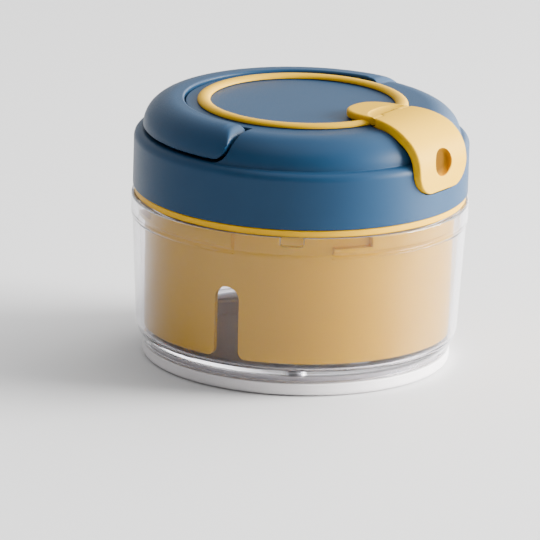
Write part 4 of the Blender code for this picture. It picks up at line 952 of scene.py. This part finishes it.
ringShape = {"radius": 34.8, "half": 2.25, "low": 91.5, "height": 1.4, "crown": 0.85, "trim": 35.5}
tongueShape = {"half": 11.0, "length": 15.5, "hinge": 36.5, "low": 91.5, "top": 94.3, "edge": 0.8,
               "power": 0.8, "middle": 0.42, "reach": 8.5, "dishHalf": 10.2, "dishLength": 6.0,
               "dishDepth": 0.95, "barrel": 1.38, "relief": 2.1, "knuckle": 5.5, "barrelHeight": 92.9,
               "bore": 0.9, "boreReach": 10.3}


def makeTongue():
    # nested copies of the plan's outline shrink towards its middle: the outer ones round the edges over, the
    # inner ones carry the dish near the hinge
    s = tongueShape
    angle = angles(0.0, 180.0, 97)
    rounded = np.stack([s["half"] * np.sign(np.cos(angle)) * np.abs(np.cos(angle)) ** s["power"],
                        -s["hinge"] + s["length"] * np.maximum(np.sin(angle), 0.0) ** s["power"]], axis=1)
    straight = np.stack([np.linspace(-s["half"], s["half"], 33)[1:-1], np.full(31, -s["hinge"])], axis=1)
    outline = np.vstack([rounded, straight])
    middle = np.array([0.0, -s["hinge"] + s["middle"] * s["length"]])
    reach, edge, thick = s["reach"], s["edge"], s["top"] - s["low"]
    lip = angles(0.0, 90.0, 8)
    dishRows = edge + (reach - edge) * np.linspace(0.0, 1.0, 34)[1:]
    inset = np.concatenate([[reach], np.linspace(reach, edge, 4)[1:], edge * (1.0 - np.sin(lip)),
                            edge * (1.0 - np.cos(lip)), dishRows])
    rise = np.concatenate([np.zeros(4), edge * (1.0 - np.cos(lip)), thick - edge * (1.0 - np.sin(lip)),
                           np.full(33, thick)])
    grid = middle + (outline - middle)[None] * (1.0 - inset / reach)[:, None, None]
    height = np.broadcast_to((s["low"] + rise)[:, None], grid.shape[:2])
    dish = 1.0 - (grid[..., 0] / s["dishHalf"]) ** 2 - ((grid[..., 1] + s["hinge"]) / s["dishLength"]) ** 2
    onTop = (np.arange(len(rise)) > 18)[:, None]
    height = height - np.where(onTop, s["dishDepth"] * np.sqrt(np.clip(dish, 0.0, 1.0)), 0.0)
    return gridSolid("pullRing", np.concatenate([grid, height[..., None]], axis=-1), False, True, False)


def makePullRing():
    # round bead turned about the lid, ended inside the tongue, then the tongue and the hinge's outer knuckles
    s, t = ringShape, tongueShape
    bead = angles(0.0, 180.0, 21)
    section = np.stack([s["radius"] + s["half"] * np.cos(bead),
                        s["low"] + s["height"] * np.sin(bead) ** s["crown"]], axis=1)
    ring = turnedSolid("ringBead", section[::-1], 256)
    square = [(-70.0, 80.0), (70.0, 80.0), (70.0, 100.0), (-70.0, 100.0)]  # wider and taller than the bead
    ring = carve(ring, prism("ringFront", square, -70.0, -s["trim"], "Y"))
    ring = carve(makeTongue(), ring, "UNION")
    hinge = (-t["hinge"], t["barrelHeight"])
    end = t["half"] - 0.1
    ring = carve(ring, rod("knuckles", t["barrel"], -end, end, hinge, "X", 64), "UNION")
    ring = carve(ring, rod("tongueRelief", t["relief"], -t["knuckle"], t["knuckle"], hinge, "X", 64))
    return carve(ring, rod("tongueBore", t["bore"], -t["boreReach"], t["boreReach"], hinge, "X", 24))


dress(makePullRing(), yellow, "ring", "yellow_plastic", "pull_ring")
print("ring made")


# Cord

cordShape = {"radius": 1.0, "height": 80.2, "knotMiddle": 54.3, "knotReach": 1.45, "knotRadius": 0.86,
             "bend": 37.5, "windingRadius": 17.3, "windingThick": 0.98, "turns": 2.0, "pitch": 1.65,
             "runRadius": 19.6, "straight": (53.1, 52.3, 50.4, 46.0, 42.0, 38.0)}


def tubeAlong(name, route, radius, sides=16, closed=False):
    # round tube along a smooth route: each ring stands square to the route, with its first axis square to one
    # fixed direction as well
    tangent = np.gradient(route, axis=0)
    if closed:
        tangent = np.roll(route, -1, axis=0) - np.roll(route, 1, axis=0)
    tangent /= np.linalg.norm(tangent, axis=1, keepdims=True)
    upright = np.array([0.0, 0.0, 1.0]) if not closed else np.array([0.31, 0.87, 0.38])
    side = np.cross(tangent, upright)
    side /= np.linalg.norm(side, axis=1, keepdims=True)
    other = np.cross(side, tangent)
    turn = fullTurn(sides)[None, :, None]
    ring = route[:, None] + radius * (side[:, None] * np.cos(turn) + other[:, None] * np.sin(turn))
    return gridSolid(name, ring, closed, True, not closed)


def makePullCord():
    # from the knot straight through the eyelet and the tunnel, then in a wide curve to the winding
    s = cordShape
    steps = np.linspace(0.0, 1.0, 40)[1:, None]
    start = np.array([[0.0, -place, s["height"]] for place in s["straight"]])
    first = np.array([0.0, -s["bend"], s["height"]])
    control = np.array([0.0, -s["bend"] * 0.62, s["height"]])
    touch = math.asin(s["runRadius"] / s["bend"])
    run = s["runRadius"] * 0.9
    last = np.array([run * math.cos(touch), -run * math.sin(touch), s["height"]])
    curve = (1.0 - steps) ** 2 * first + 2.0 * (1.0 - steps) * steps * control + steps ** 2 * last
    return tubeAlong("pullCord", np.vstack([start, [first], curve]), s["radius"])


def makeKnot():
    # overhand knot drawn tight: a trefoil in the boss's pocket
    s = cordShape
    t = fullTurn(120)
    loop = np.stack([np.sin(t) + 2.0 * np.sin(2.0 * t), -0.9 * np.sin(3.0 * t),
                     np.cos(t) - 2.0 * np.cos(2.0 * t)], axis=1)
    loop = loop / 3.0 * s["knotReach"] + (0.0, -s["knotMiddle"], s["height"])
    return tubeAlong("cordKnot", loop, s["knotRadius"], 14, True)


def makeWinding():
    # cord wound on the reel as a rising helix
    s = cordShape
    t = np.linspace(0.0, 2.0 * math.pi * s["turns"], 260)
    rise = s["height"] + s["pitch"] * (t / (math.pi * s["turns"]) - 1.0)
    helix = np.stack([s["windingRadius"] * np.cos(t), s["windingRadius"] * np.sin(t), rise], axis=1)
    return tubeAlong("cordWinding", helix, s["windingThick"], 14)


cord = dress(makePullCord(), cordFinish, None, "cord", "pull_cord", flats=False)
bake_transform(cord)
dress(makeKnot(), cordFinish, "handle", "cord", "cord_knot", flats=False)
dress(makeWinding(), cordFinish, "reel", "cord", "cord_winding", flats=False)
print("cord made")


table = {"radius": 3000.0, "height": -0.2, "sides": 96, "colour": (0.70, 0.70, 0.705),
         "shade": (0.68, 0.68, 0.685), "rough": 0.6}


def makeFloor():
    # pale table: a wide flat disc just under the foot ring
    mesh = bpy.data.meshes.new("floor")
    turn = fullTurn(table["sides"])
    across, high = table["radius"], np.full(table["sides"], table["height"])
    rim = np.stack([across * np.cos(turn), across * np.sin(turn), high], axis=1)
    mesh.from_pydata(rim * mm, [], [tuple(range(table["sides"]))])
    floor = linked("floor", mesh)
    material, tree, shader = newMaterial("pale_table")
    tone = spread(tree, noiseField(tree, 3.0, 2.0), 0.0, 1.0)
    addColour(tree, shader, tone, table["colour"], table["shade"])
    shader.inputs["Roughness"].default_value = table["rough"]
    paint(floor, material)


makeFloor()
